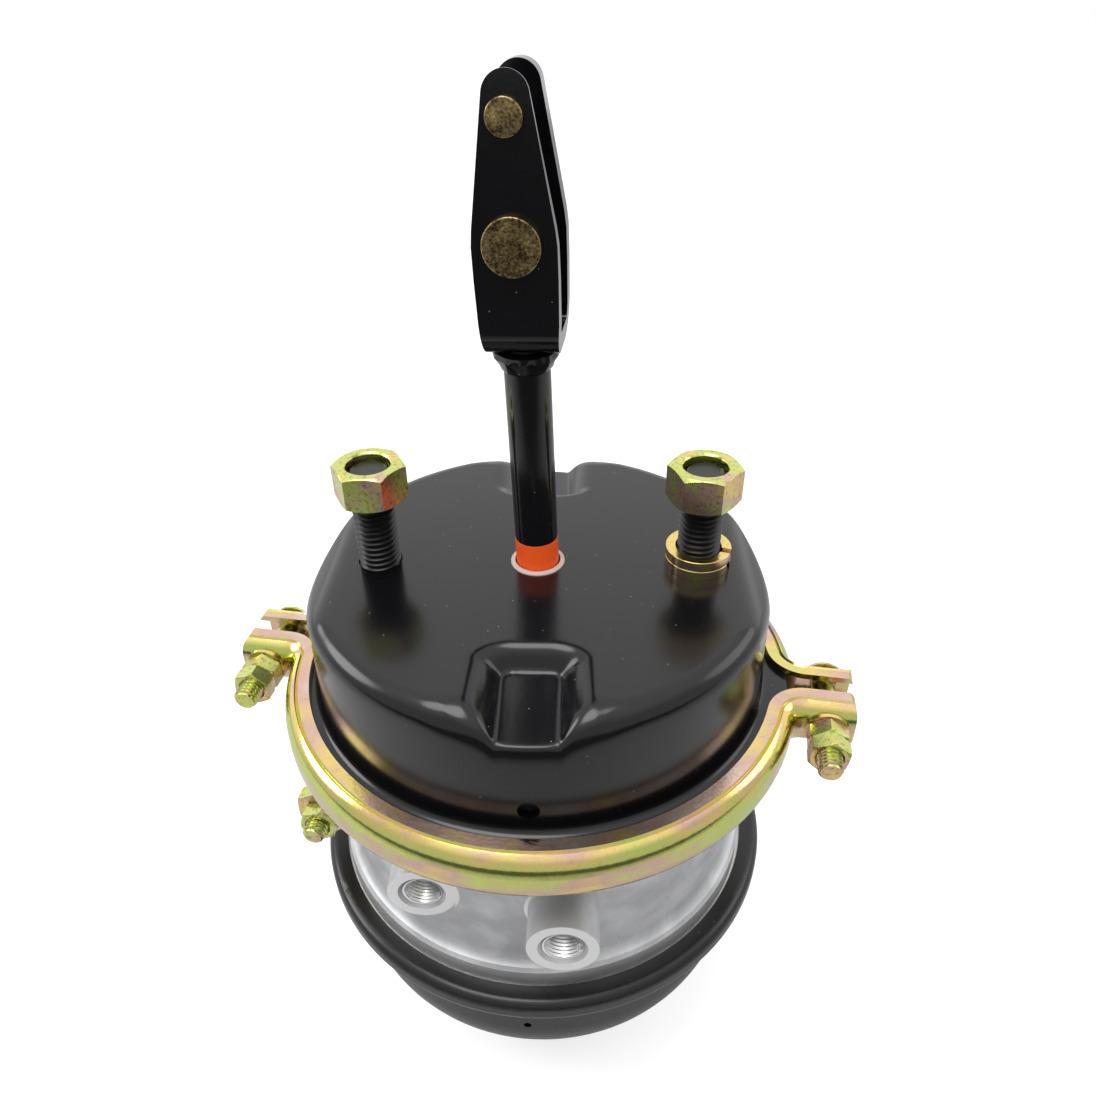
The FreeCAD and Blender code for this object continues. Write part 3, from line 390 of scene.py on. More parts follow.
def casting_material(finish, casting):
    """The case: cast skin, with turned port faces and a turned foot lip."""
    face_radius, lip_top, tool_marks = 14.5 * MM, -130.4 * MM, 9000.0
    material, make, shader = new_material("Cast aluminium", 0.35, 1.0)
    skin = use_group(make, casting)
    place = make("ShaderNodeTexCoord")
    position = place.outputs["Object"]
    facing = make("ShaderNodeSeparateXYZ", {0: place.outputs["Normal"]})
    front = calc(make, "LESS_THAN", facing.outputs["Y"], -0.985)
    turned = 0.0
    rings = 0.0
    for mount in frame["record"]["mounts"]:
        if mount["kind"] == "threaded_hole":
            reach, inside = disc_mask(make, position, mount["pos_m"], face_radius)
            inside = calc(make, "MULTIPLY", inside, front)
            wave = calc(make, "SINE", calc(make, "MULTIPLY", reach, tool_marks))
            turned = calc(make, "MAXIMUM", inside, turned)
            rings = calc(make, "ADD", calc(make, "MULTIPLY", wave, inside), rings)
    height = make("ShaderNodeSeparateXYZ", {0: position}).outputs["Z"]
    turned = calc(make, "MAXIMUM", turned, calc(make, "LESS_THAN", height, lip_top))
    color = mix_color(make, turned, skin.outputs["Color"], finish.machined)
    rough = calc(make, "MULTIPLY_ADD", turned, -0.12, skin.outputs["Roughness"])
    coat(make, shader, color, rough, calc(make, "MULTIPLY_ADD", rings, 0.25, skin.outputs["Height"]), 0.12)
    return material


def pin_material(finish):
    """Pin heads: coarse brown and olive grain."""
    material, make, shader = new_material("Pin plating", 0.35, 1.0)
    place = make("ShaderNodeTexCoord").outputs["Object"]
    patch = noise_level(make, place, 190.0, 3.0)
    grain = noise_level(make, place, 1300.0, 5.0)
    level = calc(make, "MULTIPLY", calc(make, "ADD", patch, grain), 0.5)
    brown = finish.plating_brown
    stops = (
        (0.4, shade(brown, 0.35)),
        (0.49, brown),
        (0.57, shade(brown, 1.6)),
        (0.68, finish.plating_yellow),
    )
    coat(make, shader, ramp(make, level, stops), calc(make, "MULTIPLY_ADD", grain, 0.3, 0.15), grain, 0.12)
    return material


def make_materials(finish):
    """Every finish of the chamber, by a short name."""
    plating = plating_group(finish)
    specks = speck_group()
    dust = finish.paint_dust
    # Reflection: how far each zinc colour follows the surface's facing, a painted reflection.
    ring = {"Film_Scale": 26.0, "Grain_Scale": 700.0, "Grain": 0.12, "Facing": 0.9}
    nut = {"Film_Scale": 70.0, "Grain_Scale": 650.0, "Grain": 0.7, "Facing": 0.3, "Dullness": 0.15}
    washer = {"Film_Scale": 90.0, "Grain_Scale": 800.0, "Grain": 0.3, "Facing": -0.3, "Dullness": 0.12}
    return {
        "paint": paint_material("Black enamel", finish.paint, dust, 0.19, specks),
        "thread paint": paint_material("Black thread", finish.paint, dust, 0.3, specks),
        "dome paint": paint_material("Housing enamel", finish.paint, dust, 0.28, specks, peel=0.1),
        "rod paint": paint_material("Rod enamel", finish.rod_paint, dust, 0.16, specks),
        "yoke paint": paint_material("Yoke enamel", finish.rod_paint, dust, 0.14, specks),
        "ring": plating_material("Clamp plating", plating, **ring),
        "nut": plating_material("Nut plating", plating, **nut),
        "washer": plating_material("Washer plating", plating, **washer),
        "pin": pin_material(finish),
        "casting": casting_material(finish, casting_group(finish)),
        "port thread": plain_material("Cut aluminium", finish.machined, 0.25, metal=1.0),
        "band": plain_material("Stroke band", finish.band, 0.4, grain=0.06, scale=900.0),
        "guide": plain_material("Guide plastic", finish.guide, 0.45, grain=0.04),
        "rubber": plain_material("Rubber", finish.rubber, 0.7),
        "spring": plain_material("Oiled spring steel", finish.spring, 0.35, metal=1.0),
        "steel": plain_material("Plain steel", finish.steel, 0.35, metal=1.0),
    }


looks = {}


def dress(material, *nodes):
    """Gives CAD nodes one of the finishes."""
    for node in nodes:
        slots = frame["nodes"][node].data.materials
        slots.clear()
        slots.append(looks[material])


def of_kind(kind, geom):
    """The vertices, edges or faces among what a bmesh operator gives back."""
    return [item for item in geom if isinstance(item, kind)]


def lift(bm, height, verts=None):
    """Moves some vertices, or all, along Z."""
    bmesh.ops.translate(bm, verts=verts or bm.verts, vec=(0, 0, height))


def link_object(name, data):
    made = bpy.data.objects.new(name, data)
    bpy.context.scene.collection.objects.link(made)
    return made


def mesh_object(name, bm):
    """Turns a bmesh into an object of the scene."""
    mesh = bpy.data.meshes.new(name)
    bm.to_mesh(mesh)
    bm.free()
    return link_object(name, mesh)


def finish_mesh(bm, name, body, slot, material, stands_for=(), angle=40.0):
    """Turns a bmesh into a finished piece that rides on a body and stands for CAD nodes."""
    bmesh.ops.remove_doubles(bm, verts=bm.verts, dist=1e-6)
    bmesh.ops.recalc_face_normals(bm, faces=bm.faces)
    for face in bm.faces:
        face.smooth = True
    piece = mesh_object(name, bm)
    piece.data.set_sharp_from_angle(angle=math.radians(angle))
    piece.data.materials.append(looks[material])
    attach(piece, body)
    if stands_for:
        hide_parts(*stands_for)
    return piece


def box_centre(node):
    low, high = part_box(node)
    return (Vector(low) + Vector(high)) / 2


def aim(bm, centre, along, beside=None):
    """Moves a bmesh from the origin to a centre, its Z along a direction and its X close to beside."""
    z = Vector(along).normalized()
    x = Vector(beside) if beside else z.orthogonal()
    x = (x - z * x.dot(z)).normalized()
    turn = Matrix((x, z.cross(x), z)).transposed().to_4x4()
    bmesh.ops.transform(bm, matrix=Matrix.Translation(Vector(centre)) @ turn, verts=bm.verts)


def spin_profile(bm, spots, steps, closed=False, angle=math.tau, rise=0.0):
    """Spins (radius, height) spots about Z; a closed profile makes a ring, and rise a helix."""
    corners = [bm.verts.new((reach, 0, height)) for reach, height in spots]
    following = corners[1:] + corners[:1] if closed else corners[1:]
    lines = [bm.edges.new(pair) for pair in zip(corners, following)]
    bmesh.ops.spin(
        bm,
        geom=corners + lines,
        cent=(0, 0, 0),
        axis=(0, 0, 1),
        dvec=(0, 0, rise / steps),
        angle=angle,
        steps=steps,
        use_merge=closed,
    )


def copy_all(bm, geom):
    """Copies part of a bmesh; returns the copy's vertices and faces."""
    copy = bmesh.ops.duplicate(bm, geom=geom)["geom"]
    return of_kind(BMVert, copy), of_kind(BMFace, copy)


def round_edges(bm, edges, width, segments, clamp_overlap=False):
    bmesh.ops.bevel(
        bm,
        geom=list(edges),
        offset=width,
        segments=segments,
        profile=0.5,
        affect="EDGES",
        material=-1,
        clamp_overlap=clamp_overlap,
    )


def thread_surface(crest, root, pitch, length, steps):
    """An open helical thread surface about Z from 0 to length, cut square at both ends."""
    bm = bmesh.new()
    spots = ((root, 0.0), (root, 0.12), (crest, 0.44), (crest, 0.56), (root, 0.88), (root, 1.0))
    spin_profile(bm, [(reach, (share - 2) * pitch) for reach, share in spots], steps, rise=pitch)
    turn = bm.verts[:] + bm.edges[:] + bm.faces[:]
    for count in range(1, math.ceil(length / pitch) + 3):
        lift(bm, count * pitch, copy_all(bm, turn)[0])
    bmesh.ops.remove_doubles(bm, verts=bm.verts, dist=1e-6)
    for height, clear_above in ((length, True), (0.0, False)):
        bmesh.ops.bisect_plane(
            bm,
            geom=bm.verts[:] + bm.edges[:] + bm.faces[:],
            dist=1e-7,
            plane_co=(0, 0, height),
            plane_no=(0, 0, 1),
            clear_outer=clear_above,
            clear_inner=not clear_above,
        )
    return bm


def boundary(bm, height):
    """Open edges that lie at a height."""
    near = 0.01 * MM
    return [e for e in bm.edges if e.is_boundary and all(abs(v.co.z - height) < near for v in e.verts)]


def threaded_rod(cut, kind, length, chamfer):
    """A closed rod with a stud's or a bolt's thread, about Z from 0 to length, with a chamfered tip."""
    radius, depth, pitch = (getattr(cut, kind + size) for size in ("_radius", "_depth", "_pitch"))
    bm = thread_surface(radius, radius - depth, pitch, length, cut.steps)
    for vert in bm.verts:
        reach = math.hypot(vert.co.x, vert.co.y)
        limit = radius - chamfer + (length - vert.co.z)
        if reach > limit:
            vert.co.xy *= limit / reach
    for height in (0.0, length):
        made = bmesh.ops.triangle_fill(bm, edges=boundary(bm, height), use_beauty=True)
        bmesh.ops.recalc_face_normals(bm, faces=of_kind(BMFace, made["geom"]))
    return bm


def add_round(bm, radius, depth, place, segments=48):
    """Adds a closed cylinder about Z, which place puts where it belongs."""
    return bmesh.ops.create_cone(
        bm, cap_ends=True, segments=segments, radius1=radius, radius2=radius, depth=depth, matrix=place
    )["verts"]


def add_shank(bm, radius, low, high, width):
    """Adds a cylinder about Z between two heights, with rounded rims."""
    verts = add_round(bm, radius, high - low, Matrix.Translation((0, 0, (low + high) / 2)))
    rims = {e for v in verts for e in v.link_edges if e.calc_face_angle(0) > math.radians(60)}
    round_edges(bm, rims, width, 3)


def add_block(bm, size, middle, width, segments):
    """Adds a box round a point of the Z axis, with rounded edges."""
    place = Matrix.Translation((0, 0, middle)) @ Matrix.Diagonal((*size, 1))
    made = bmesh.ops.create_cube(bm, size=1.0, matrix=place)
    round_edges(bm, {e for v in made["verts"] for e in v.link_edges}, width, segments)


class CupSettings(bpy.types.PropertyGroup):
    """Sizes of the pressed cup, as the frame has them."""

    radius: length_property("Radius", "Outside of the wall", 88.0)
    shoulder: length_property("Shoulder", "Radius of the shoulder", 7.6)
    fold: length_property("Fold", "Radius of the wall under a recess floor", 18.0)
    fold_angle: number_property("Fold angle", "Lean of that wall", 0.394, subtype="ANGLE")
    hole: length_property("Guide hole", "Radius of the hole for the rod guide", 10.3)
    flange_radius: length_property("Flange radius", "Outside of the flange", 99.3)
    flange_height: length_property("Flange height", "Height of the flange's top, below the face", -48.5)
    neck: length_property("Neck", "Radius between wall and flange", 3.5)
    fold_core: length_property("Fold core", "Half width of the full fold", 6.0)
    fold_spread: length_property("Fold spread", "Width over which the fold turns into the shoulder", 30.0)
    sheet: length_property("Sheet", "Thickness of the pressed sheet", 3.0)
    side: length_property("Side", "Where the flattened sides begin", 77.3)
    recess_depth: length_property("Recess depth", "Depth of both recesses", 8.0)
    recess_floor: length_property("Recess floor", "Half width of a recess floor", 10.4)
    recess_bank: length_property("Recess bank", "Width of a recess's sloping side", 10.2)
    recess_back: length_property("Recess back", "Reach of a recess floor from the middle", 54.2)
    recess_rise: length_property("Recess rise", "Length of the slope behind a floor", 6.4)
    stud_hole: length_property("Stud hole", "Radius of the stud holes", 8.35)
    drain_hole: length_property("Drain hole", "Radius of the drain holes", 3.8)
    drain_height: length_property("Drain height", "Height of the drain holes", -38.0)
    drill: length_property("Drill", "Length of the drills", 20.0)


def recess_share(cup, x, y):
    """0 on a recess's floor, 1 on the face outside it."""
    corner, stretch, foot, crown = 0.42, 1.15, 0.004, 2.1
    across = (abs(x) - cup.recess_floor) / cup.recess_bank
    inward = (cup.recess_back - abs(y)) / cup.recess_rise
    share = (math.hypot(max(0.0, across + corner), max(0.0, inward + corner)) - corner) / stretch
    share = (math.sqrt(share * share + foot) + share) / 2
    return 1 - (1 - min(1.0, share)) ** crown


def face_height(cup, x, y):
    """Height of the pressed face with its recesses and flattened sides."""
    side_bend, side_slope, floor_slope, far = 1.7 * MM, 0.9, 0.065, 30.0
    past_side = side_bend * math.log1p(math.exp(min(far, (abs(x) - cup.side) / side_bend)))
    fall = floor_slope * max(0.0, abs(y) - cup.recess_back)
    low = (cup.recess_depth + fall) * (1 - recess_share(cup, x, y))
    return -side_slope * past_side - low


class BRAKE_OT_cup(bpy.types.Operator):
    """Presses the cup with its recesses, flattened sides and soft shoulder."""

    bl_idname = "brake.cup"
    bl_label = "Service housing"

    face_rows: IntProperty(name="Face rows", description="Rings of the face", default=54)
    crease_rows: IntProperty(name="Crease rows", description="Rings of the crease at a recess", default=4)
    bend_rows: IntProperty(name="Bend rows", description="Rings of the shoulder", default=10)
    wall_rows: IntProperty(name="Wall rows", description="Rings of the wall", default=8)
    neck_rows: IntProperty(name="Neck rows", description="Rings of the bend over the flange", default=6)
    sectors: IntProperty(name="Facets", description="Facets round the cup", default=720)
    sharp: number_property("Sharp", "Degrees from which an edge is sharp", 50.0)

    def execute(self, context):
        cup = context.scene.brake_cup
        rows = len(self.section(cup, 0.0))
        parts = 8
        bm = bmesh.new()
        spin_profile(bm, [(1, -row) for row in range(rows)], self.sectors // parts, angle=math.tau / parts)
        eighth = bm.verts[:] + bm.edges[:] + bm.faces[:]
        for part in range(1, parts):
            turn = Matrix.Rotation(math.tau * part / parts, 3, "Z")
            bmesh.ops.rotate(bm, verts=copy_all(bm, eighth)[0], cent=(0, 0, 0), matrix=turn)
        bmesh.ops.remove_doubles(bm, verts=bm.verts, dist=1e-4)
        ways = {}
        for vert in bm.verts:
            sector = round(math.atan2(vert.co.y, vert.co.x) / math.tau * self.sectors) % self.sectors
            row = round(-vert.co.z)
            # Rows near the guide hole have fewer facets: an eighth, a quarter and half as many.
            for limit, coarse in ((8, 8), (15, 4), (21, 2)):
                if row <= limit:
                    sector = (sector + coarse // 2) // coarse * coarse % self.sectors
                    break
            if sector not in ways:
                ways[sector] = self.section(cup, math.tau * sector / self.sectors)
            vert.co = ways[sector][row]
        bmesh.ops.remove_doubles(bm, verts=bm.verts, dist=1e-6)
        bmesh.ops.recalc_face_normals(bm, faces=bm.faces)
        if sum(face.normal.z * face.calc_area() for face in bm.faces) < 0:
            bmesh.ops.reverse_faces(bm, faces=bm.faces)
        self.thicken(bm, cup)
        names = ("pressed_cup", "chamber", "black_paint", "paint", ("service_housing",))
        self.drill(cup, finish_mesh(bm, *names, self.sharp))
        return {"FINISHED"}

    def section(self, cup, turn):
        """Points from the guide hole out over the shoulder and down to the flange, at one angle."""
        crowding, outward = 0.2, 0.72
        turn += crowding * math.sin(2 * turn)
        x, y = math.cos(turn), math.sin(turn)
        rim = face_height(cup, cup.radius * x, cup.radius * y)
        inner = face_height(cup, (cup.radius - MM) * x, (cup.radius - MM) * y)
        slope = math.atan2(inner - rim, MM)
        soft = min(1.0, max(0.0, (abs(cup.radius * x) - cup.fold_core) / cup.fold_spread))
        soft = soft * soft * (3 - 2 * soft)
        bend = cup.fold + (cup.shoulder - cup.fold) * soft
        start = cup.fold_angle + (math.pi / 2 - min(slope, 1.0) * soft - cup.fold_angle) * soft
        centre = cup.radius - bend
        edge = centre + bend * math.cos(start)
        pivot = face_height(cup, edge * x, edge * y) - bend * math.sin(start)

        def on_bend(angle):
            return Vector((centre + bend * math.cos(angle), pivot + bend * math.sin(angle)))

        crease = (0.05 + 1.2 * (1 - soft) + 16 * soft * (1 - soft)) * MM
        rows = []
        for i in range(self.face_rows + 1):
            reach = cup.hole + (edge - crease - cup.hole) * (i / self.face_rows) ** outward
            rows.append((reach, face_height(cup, reach * x, reach * y)))
        turn_in = start - crease / bend
        first, corner, last = Vector(rows[-1]), on_bend(start), on_bend(turn_in)
        for i in range(1, self.crease_rows + 1):
            share = i / (self.crease_rows + 1)
            rows.append(first * (1 - share) ** 2 + corner * 2 * share * (1 - share) + last * share**2)
        rows += [on_bend(turn_in * (1 - i / (self.bend_rows - 1))) for i in range(self.bend_rows)]
        wall_end = cup.flange_height + cup.neck
        for i in range(1, self.wall_rows + 1):
            rows.append((cup.radius, pivot + (wall_end - pivot) * i / self.wall_rows))
        for i in range(1, self.neck_rows):
            angle = math.radians(180 + 90 * i / (self.neck_rows - 1))
            place = cup.radius + cup.neck
            rows.append((place + cup.neck * math.cos(angle), wall_end + cup.neck * math.sin(angle)))
        for back, down in ((0.5, 0.0), (0.15, 0.15), (0.0, 0.5)):
            rows.append((cup.flange_radius - back * MM, cup.flange_height - down * MM))
        return [Vector((reach * x, reach * y, height)) for reach, height in rows]

    def thicken(self, bm, cup):
        """Adds the inside of the sheet and closes it at the guide hole and the flange's edge."""
        verts, faces = copy_all(bm, bm.verts[:] + bm.edges[:] + bm.faces[:])
        bm.normal_update()
        for vert in verts:
            vert.co -= vert.normal * cup.sheet
        bmesh.ops.reverse_faces(bm, faces=faces)
        rims = [edge for edge in bm.edges if edge.is_boundary]
        for outer in (False, True):
            loops = [edge for edge in rims if (edge.verts[0].co.xy.length > cup.radius / 2) == outer]
            bmesh.ops.bridge_loops(bm, edges=loops)

    def drill(self, cup, piece):
        """Cuts the stud holes and the drain holes."""
        bm = bmesh.new()
        for side in SIDES:
            centre = box_centre("mounting_stud_" + side)
            add_round(bm, cup.stud_hole, cup.drill, Matrix.Translation((centre.x, centre.y, 0)))
        for y in (-cup.radius, cup.radius):
            place = Matrix.Translation((0, y, cup.drain_height)) @ Matrix.Rotation(math.pi / 2, 4, "X")
            add_round(bm, cup.drain_hole, cup.drill, place, 40)
        drills = mesh_object("cup_drills", bm)
        cut = piece.modifiers.new("Holes", "BOOLEAN")
        cut.operation = "DIFFERENCE"
        cut.solver = "EXACT"
        cut.object = drills
        graph = bpy.context.evaluated_depsgraph_get()
        drilled = bpy.data.meshes.new_from_object(piece.evaluated_get(graph))
        piece.modifiers.clear()
        piece.data = drilled
        drilled.set_sharp_from_angle(angle=math.radians(self.sharp))
        bpy.data.objects.remove(drills)
        if len(drilled.polygons) < self.face_rows * self.sectors:
            raise RuntimeError("the cup lost its faces when it was drilled")


class BRAKE_OT_stud_threads(bpy.types.Operator):
    """Cuts the thread of both mounting studs, which stay in their bodies."""

    bl_idname = "brake.stud_threads"
    bl_label = "Mounting studs"

    head_radius: length_property("Head radius", "Hidden head under the cup", 12.5)
    head_low: length_property("Head underside", "Height of the head's underside", -8.0)
    head_high: length_property("Head top", "Height of the head's top", -3.0)
    head_edge: length_property("Head edge", "Rounding of the head's rims", 0.8)
    chamfer: length_property("Chamfer", "Chamfer of the tip", 1.3)

    def execute(self, context):
        for side in SIDES:
            node = "mounting_stud_" + side
            low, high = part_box(node)
            centre = box_centre(node)
            bm = threaded_rod(context.scene.brake_threads, "stud", high[2] - self.head_high, self.chamfer)
            lift(bm, self.head_high)
            add_shank(bm, self.head_radius, self.head_low, self.head_high, self.head_edge)
            bmesh.ops.translate(bm, verts=bm.verts, vec=(centre.x, centre.y, 0))
            finish_mesh(bm, "threaded_stud_" + side, "chamber", "black_paint", "thread paint", (node,))
        return {"FINISHED"}


class BRAKE_OT_clamp_bolts(bpy.types.Operator):
    """Models both clamp bolts with domed heads, square necks and threads."""

    bl_idname = "brake.clamp_bolts"
    bl_label = "Clamp bolts"

    tip_reach: length_property("Tip reach", "From the first nut's middle to the bolt's tip", 17.12)
    head_reach: length_property("Head reach", "From the first nut's middle back to the head", 33.48)
    plain: length_property("Plain shank", "Length without thread behind the nut", 12.0)
    chamfer: length_property("Chamfer", "Chamfer of the tip", 1.0)
    neck_width: length_property("Neck width", "Across the square neck", 9.3)
    neck_length: length_property("Neck length", "Length of the square neck", 6.0)
    head_radius: length_property("Head radius", "Radius of the domed head", 10.5)
    head_height: length_property("Head height", "Height of the domed head", 5.4)
    head_edge: length_property("Head edge", "Straight rim of the domed head", 1.0)

    def execute(self, context):
        cut = context.scene.brake_threads
        start = self.plain - self.head_reach
        for side in SIDES:
            bm = threaded_rod(cut, "bolt", self.tip_reach - start, self.chamfer)
            lift(bm, start)
            add_shank(bm, cut.bolt_radius, -self.head_reach, start, 0.4 * MM)
            size = (self.neck_width, self.neck_width, self.neck_length)
            add_block(bm, size, self.neck_length / 2 - self.head_reach, 0.5 * MM, 2)
            self.dome(bm)
            ahead = joints["clamp_nuts_" + side + "_travel"]["axis"]
            aim(bm, box_centre("clamp_nut_" + side), ahead, (0, 0, 1))
            node = "clamp_bolt_" + side
            finish_mesh(bm, "threaded_clamp_bolt_" + side, "chamber", "yellow_zinc", "nut", (node,))
        return {"FINISHED"}

    def dome(self, bm):
        """Adds the head: the far cap of a ball, with a straight rim and a flat underside."""
        ball = bmesh.ops.create_uvsphere(bm, u_segments=48, v_segments=32, radius=self.head_radius)
        verts = ball["verts"]
        lift(bm, self.head_radius - self.head_height - self.head_reach, verts)
        faces = {f for v in verts for f in v.link_faces}
        edges = {e for f in faces for e in f.edges}
        kept = bmesh.ops.bisect_plane(
            bm,
            geom=verts + list(edges) + list(faces),
            plane_co=(0, 0, -self.head_reach - self.head_edge),
            plane_no=(0, 0, 1),
            clear_outer=True,
        )
        skirt = bmesh.ops.extrude_edge_only(bm, edges=of_kind(BMEdge, kept["geom_cut"]))["geom"]
        lift(bm, self.head_edge, of_kind(BMVert, skirt))
        bmesh.ops.holes_fill(bm, edges=of_kind(BMEdge, skirt))


class BRAKE_OT_release_bolt(bpy.types.Operator):
    """Models the stored release bolt with its cross head and thread."""

    bl_idname = "brake.release_bolt"
    bl_label = "Release bolt"

    tip_reach: length_property("Tip reach", "From the nut's middle to the bolt's tip", 8.55)
    head_reach: length_property("Head reach", "From the nut's middle back to the cross head", 79.6)
    chamfer: length_property("Chamfer", "Chamfer of the tip", 1.2)
    head_width: length_property("Head width", "Length of the cross head", 18.0)
    head_depth: length_property("Head depth", "Thickness of the cross head", 9.42)
    head_height: length_property("Head height", "Height of the cross head", 7.0)

    def execute(self, context):
        length = self.tip_reach + self.head_reach
        bm = threaded_rod(context.scene.brake_threads, "bolt", length, self.chamfer)
        size = (self.head_width, self.head_depth, self.head_height)
        add_block(bm, size, -self.head_height / 2, 0.8 * MM, 3)
        lift(bm, -self.head_reach)
        behind = Vector(joints["release_bolt_travel"]["axis"])
        aim(bm, box_centre("release_nut"), -behind, (0, 0, 1))
        finish_mesh(bm, "threaded_release_bolt", "release_bolt", "yellow_zinc", "nut", ("release_bolt",))
        return {"FINISHED"}


class BRAKE_OT_port_threads(bpy.types.Operator):
    """Lines both air ports with a pipe thread."""

    bl_idname = "brake.port_threads"
    bl_label = "Port threads"

    bore: length_property("Bore radius", "Radius of the bore in the case", 7.4)
    left_face: length_property("Left face", "Y of the left port's face", -79.2)
    right_face: length_property("Right face", "Y of the right port's face", -100.0)
    mouth_gap: length_property("Mouth gap", "Depth at which the thread starts", 0.9)
    end_gap: length_property("End gap", "How much shorter the thread is than its hole", 0.6)
    wall_gap: length_property("Wall gap", "Room between the thread's back and the bore", 0.03)
    root_gap: length_property("Root gap", "Room between the thread's root and the bore", 0.1)

    def execute(self, context):
        cut = context.scene.brake_threads
        crest, root = self.bore - cut.port_depth, self.bore - self.root_gap
        for mount, face in (("left_air_port", self.left_face), ("right_air_port", self.right_face)):
            port = next(m for m in frame["record"]["mounts"] if m["name"] == mount)
            length = port["dims"]["length_mm"] * MM - self.end_gap
            bm = thread_surface(crest, root, cut.port_pitch, length, cut.steps)
            loops = []
            for height in (0.0, length):
                made = bmesh.ops.extrude_edge_only(bm, edges=boundary(bm, height))["geom"]
                for vert in of_kind(BMVert, made):
                    vert.co.xy *= (self.bore - self.wall_gap) / math.hypot(vert.co.x, vert.co.y)
                loops += [edge for edge in of_kind(BMEdge, made) if edge.is_boundary]
            bmesh.ops.bridge_loops(bm, edges=loops)
            aim(bm, (port["pos_m"][0], face + self.mouth_gap, port["pos_m"][2]), (0, 1, 0))
            finish_mesh(bm, "thread_" + mount, "chamber", "cast_aluminium", "port thread", (), 60.0)
        return {"FINISHED"}


class BRAKE_OT_weld(bpy.types.Operator):
    """Lays the uneven weld bead between the push rod and the yoke."""

    bl_idname = "brake.weld"
    bl_label = "Yoke weld"

    ripple: length_property("Ripple", "How far the bead wanders", 0.55)
    rod: length_property("Rod", "Radius up to which the bead is even", 8.0)
    base_gap: length_property("Base gap", "Room under the bead", 0.4)
    top_gap: length_property("Top gap", "Room over the bead", 0.6)
    lumps: number_property("Lumps", "Large lumps per metre", 330.0)
    beads: number_property("Beads", "Small lumps per metre", 900.0)

    def execute(self, context):
        along = Vector(joints["rod_turn"]["axis"])
        back = Vector(joints["large_pin_turn"]["axis"])
        low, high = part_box("clevis_weld")
        base = low[2] / along.z + self.base_gap
        rise = high[2] / along.z - self.top_gap - base
        spots = ((7.7, 0.0), (8.6, 0.12), (9.9, 0.42), (11.1, 0.66), (11.0, 0.9), (9.0, 1.0), (7.7, 1.0))
        bm = bmesh.new()
        spin_profile(bm, [(reach * MM, base + rise * share) for reach, share in spots], 56, closed=True)
        for vert in bm.verts:
            reach = math.hypot(vert.co.x, vert.co.y)
            if reach > self.rod:
                wander = noise.noise(vert.co * self.lumps) + 0.5 * noise.noise(vert.co * self.beads)
                vert.co.xy *= 1 + wander * self.ripple / reach
        aim(bm, (0, 0, 0), along, back.cross(along))
        finish_mesh(bm, "weld_bead", "rod", "rod_black", "yoke paint", ("clevis_weld",), 25.0)
        return {"FINISHED"}


def rounded_copy(node, body, slot, material, width, segments=2):
    """A merged copy of a CAD node whose sharp edges are rounded."""
    bm = bmesh.new()
    bm.from_mesh(frame["nodes"][node].data)
    bmesh.ops.remove_doubles(bm, verts=bm.verts, dist=2e-6)
    bmesh.ops.dissolve_limit(bm, angle_limit=math.radians(0.6), verts=bm.verts, edges=bm.edges)
    sharp = math.radians(28.0)
    edges = [e for e in bm.edges if len(e.link_faces) == 2 and e.calc_face_angle(0) > sharp]
    round_edges(bm, edges, width, segments, clamp_overlap=True)
    piece = finish_mesh(bm, "rounded_" + node, body, slot, material, (node,), 35.0)
    even = piece.modifiers.new("Even shading", "WEIGHTED_NORMAL")
    even.weight = 100
    even.keep_sharp = True


class BRAKE_OT_yoke(bpy.types.Operator):
    """Rounds the yoke's edges and paints rod, yoke and stroke band."""

    bl_idname = "brake.yoke"
    bl_label = "Rod and yoke"

    edge: length_property("Edge", "Rounding of the yoke's sheared edges", 0.45)
    band_low: length_property("Band low", "Lower edge of the stroke mark on the rod", -0.5)
    band_high: length_property("Band high", "Upper edge of the stroke mark on the rod", 11.5)
    band_radius: length_property("Band radius", "Outside of the stroke mark", 8.0)
    band_skin: length_property("Band skin", "Thickness of the stroke mark", 0.14)
    band_edge: length_property("Band edge", "Width of its sloping edge", 0.1)

    def execute(self, context):
        dress("rod paint", "pushrod")
        dress("yoke paint", "clevis", "clevis_weld")
        dress("pin", "clevis_pin_large", "clevis_pin_small", "cotter_pin_large", "cotter_pin_small")
        rounded_copy("clevis", "rod", "rod_black", "yoke paint", self.edge, 3)
        low, high, edge = self.band_low, self.band_high, self.band_edge
        outside, inside = self.band_radius, self.band_radius - self.band_skin
        bm = bmesh.new()
        spots = ((inside, low), (outside, low + edge), (outside, high - edge), (inside, high))
        spin_profile(bm, spots, 96, closed=True)
        aim(bm, (0, 0, 0), joints["rod_turn"]["axis"])
        finish_mesh(bm, "stroke_mark", "rod", "orange_band", "band", ("stroke_band",))
        return {"FINISHED"}


class BRAKE_OT_painted(bpy.types.Operator):
    """Paints the cup and the spring housing."""

    bl_idname = "brake.painted"
    bl_label = "Painted housings"

    def execute(self, context):
        dress("paint", "service_housing", "mounting_stud_left", "mounting_stud_right")
        dress("dome paint", "spring_housing")
        return {"FINISHED"}


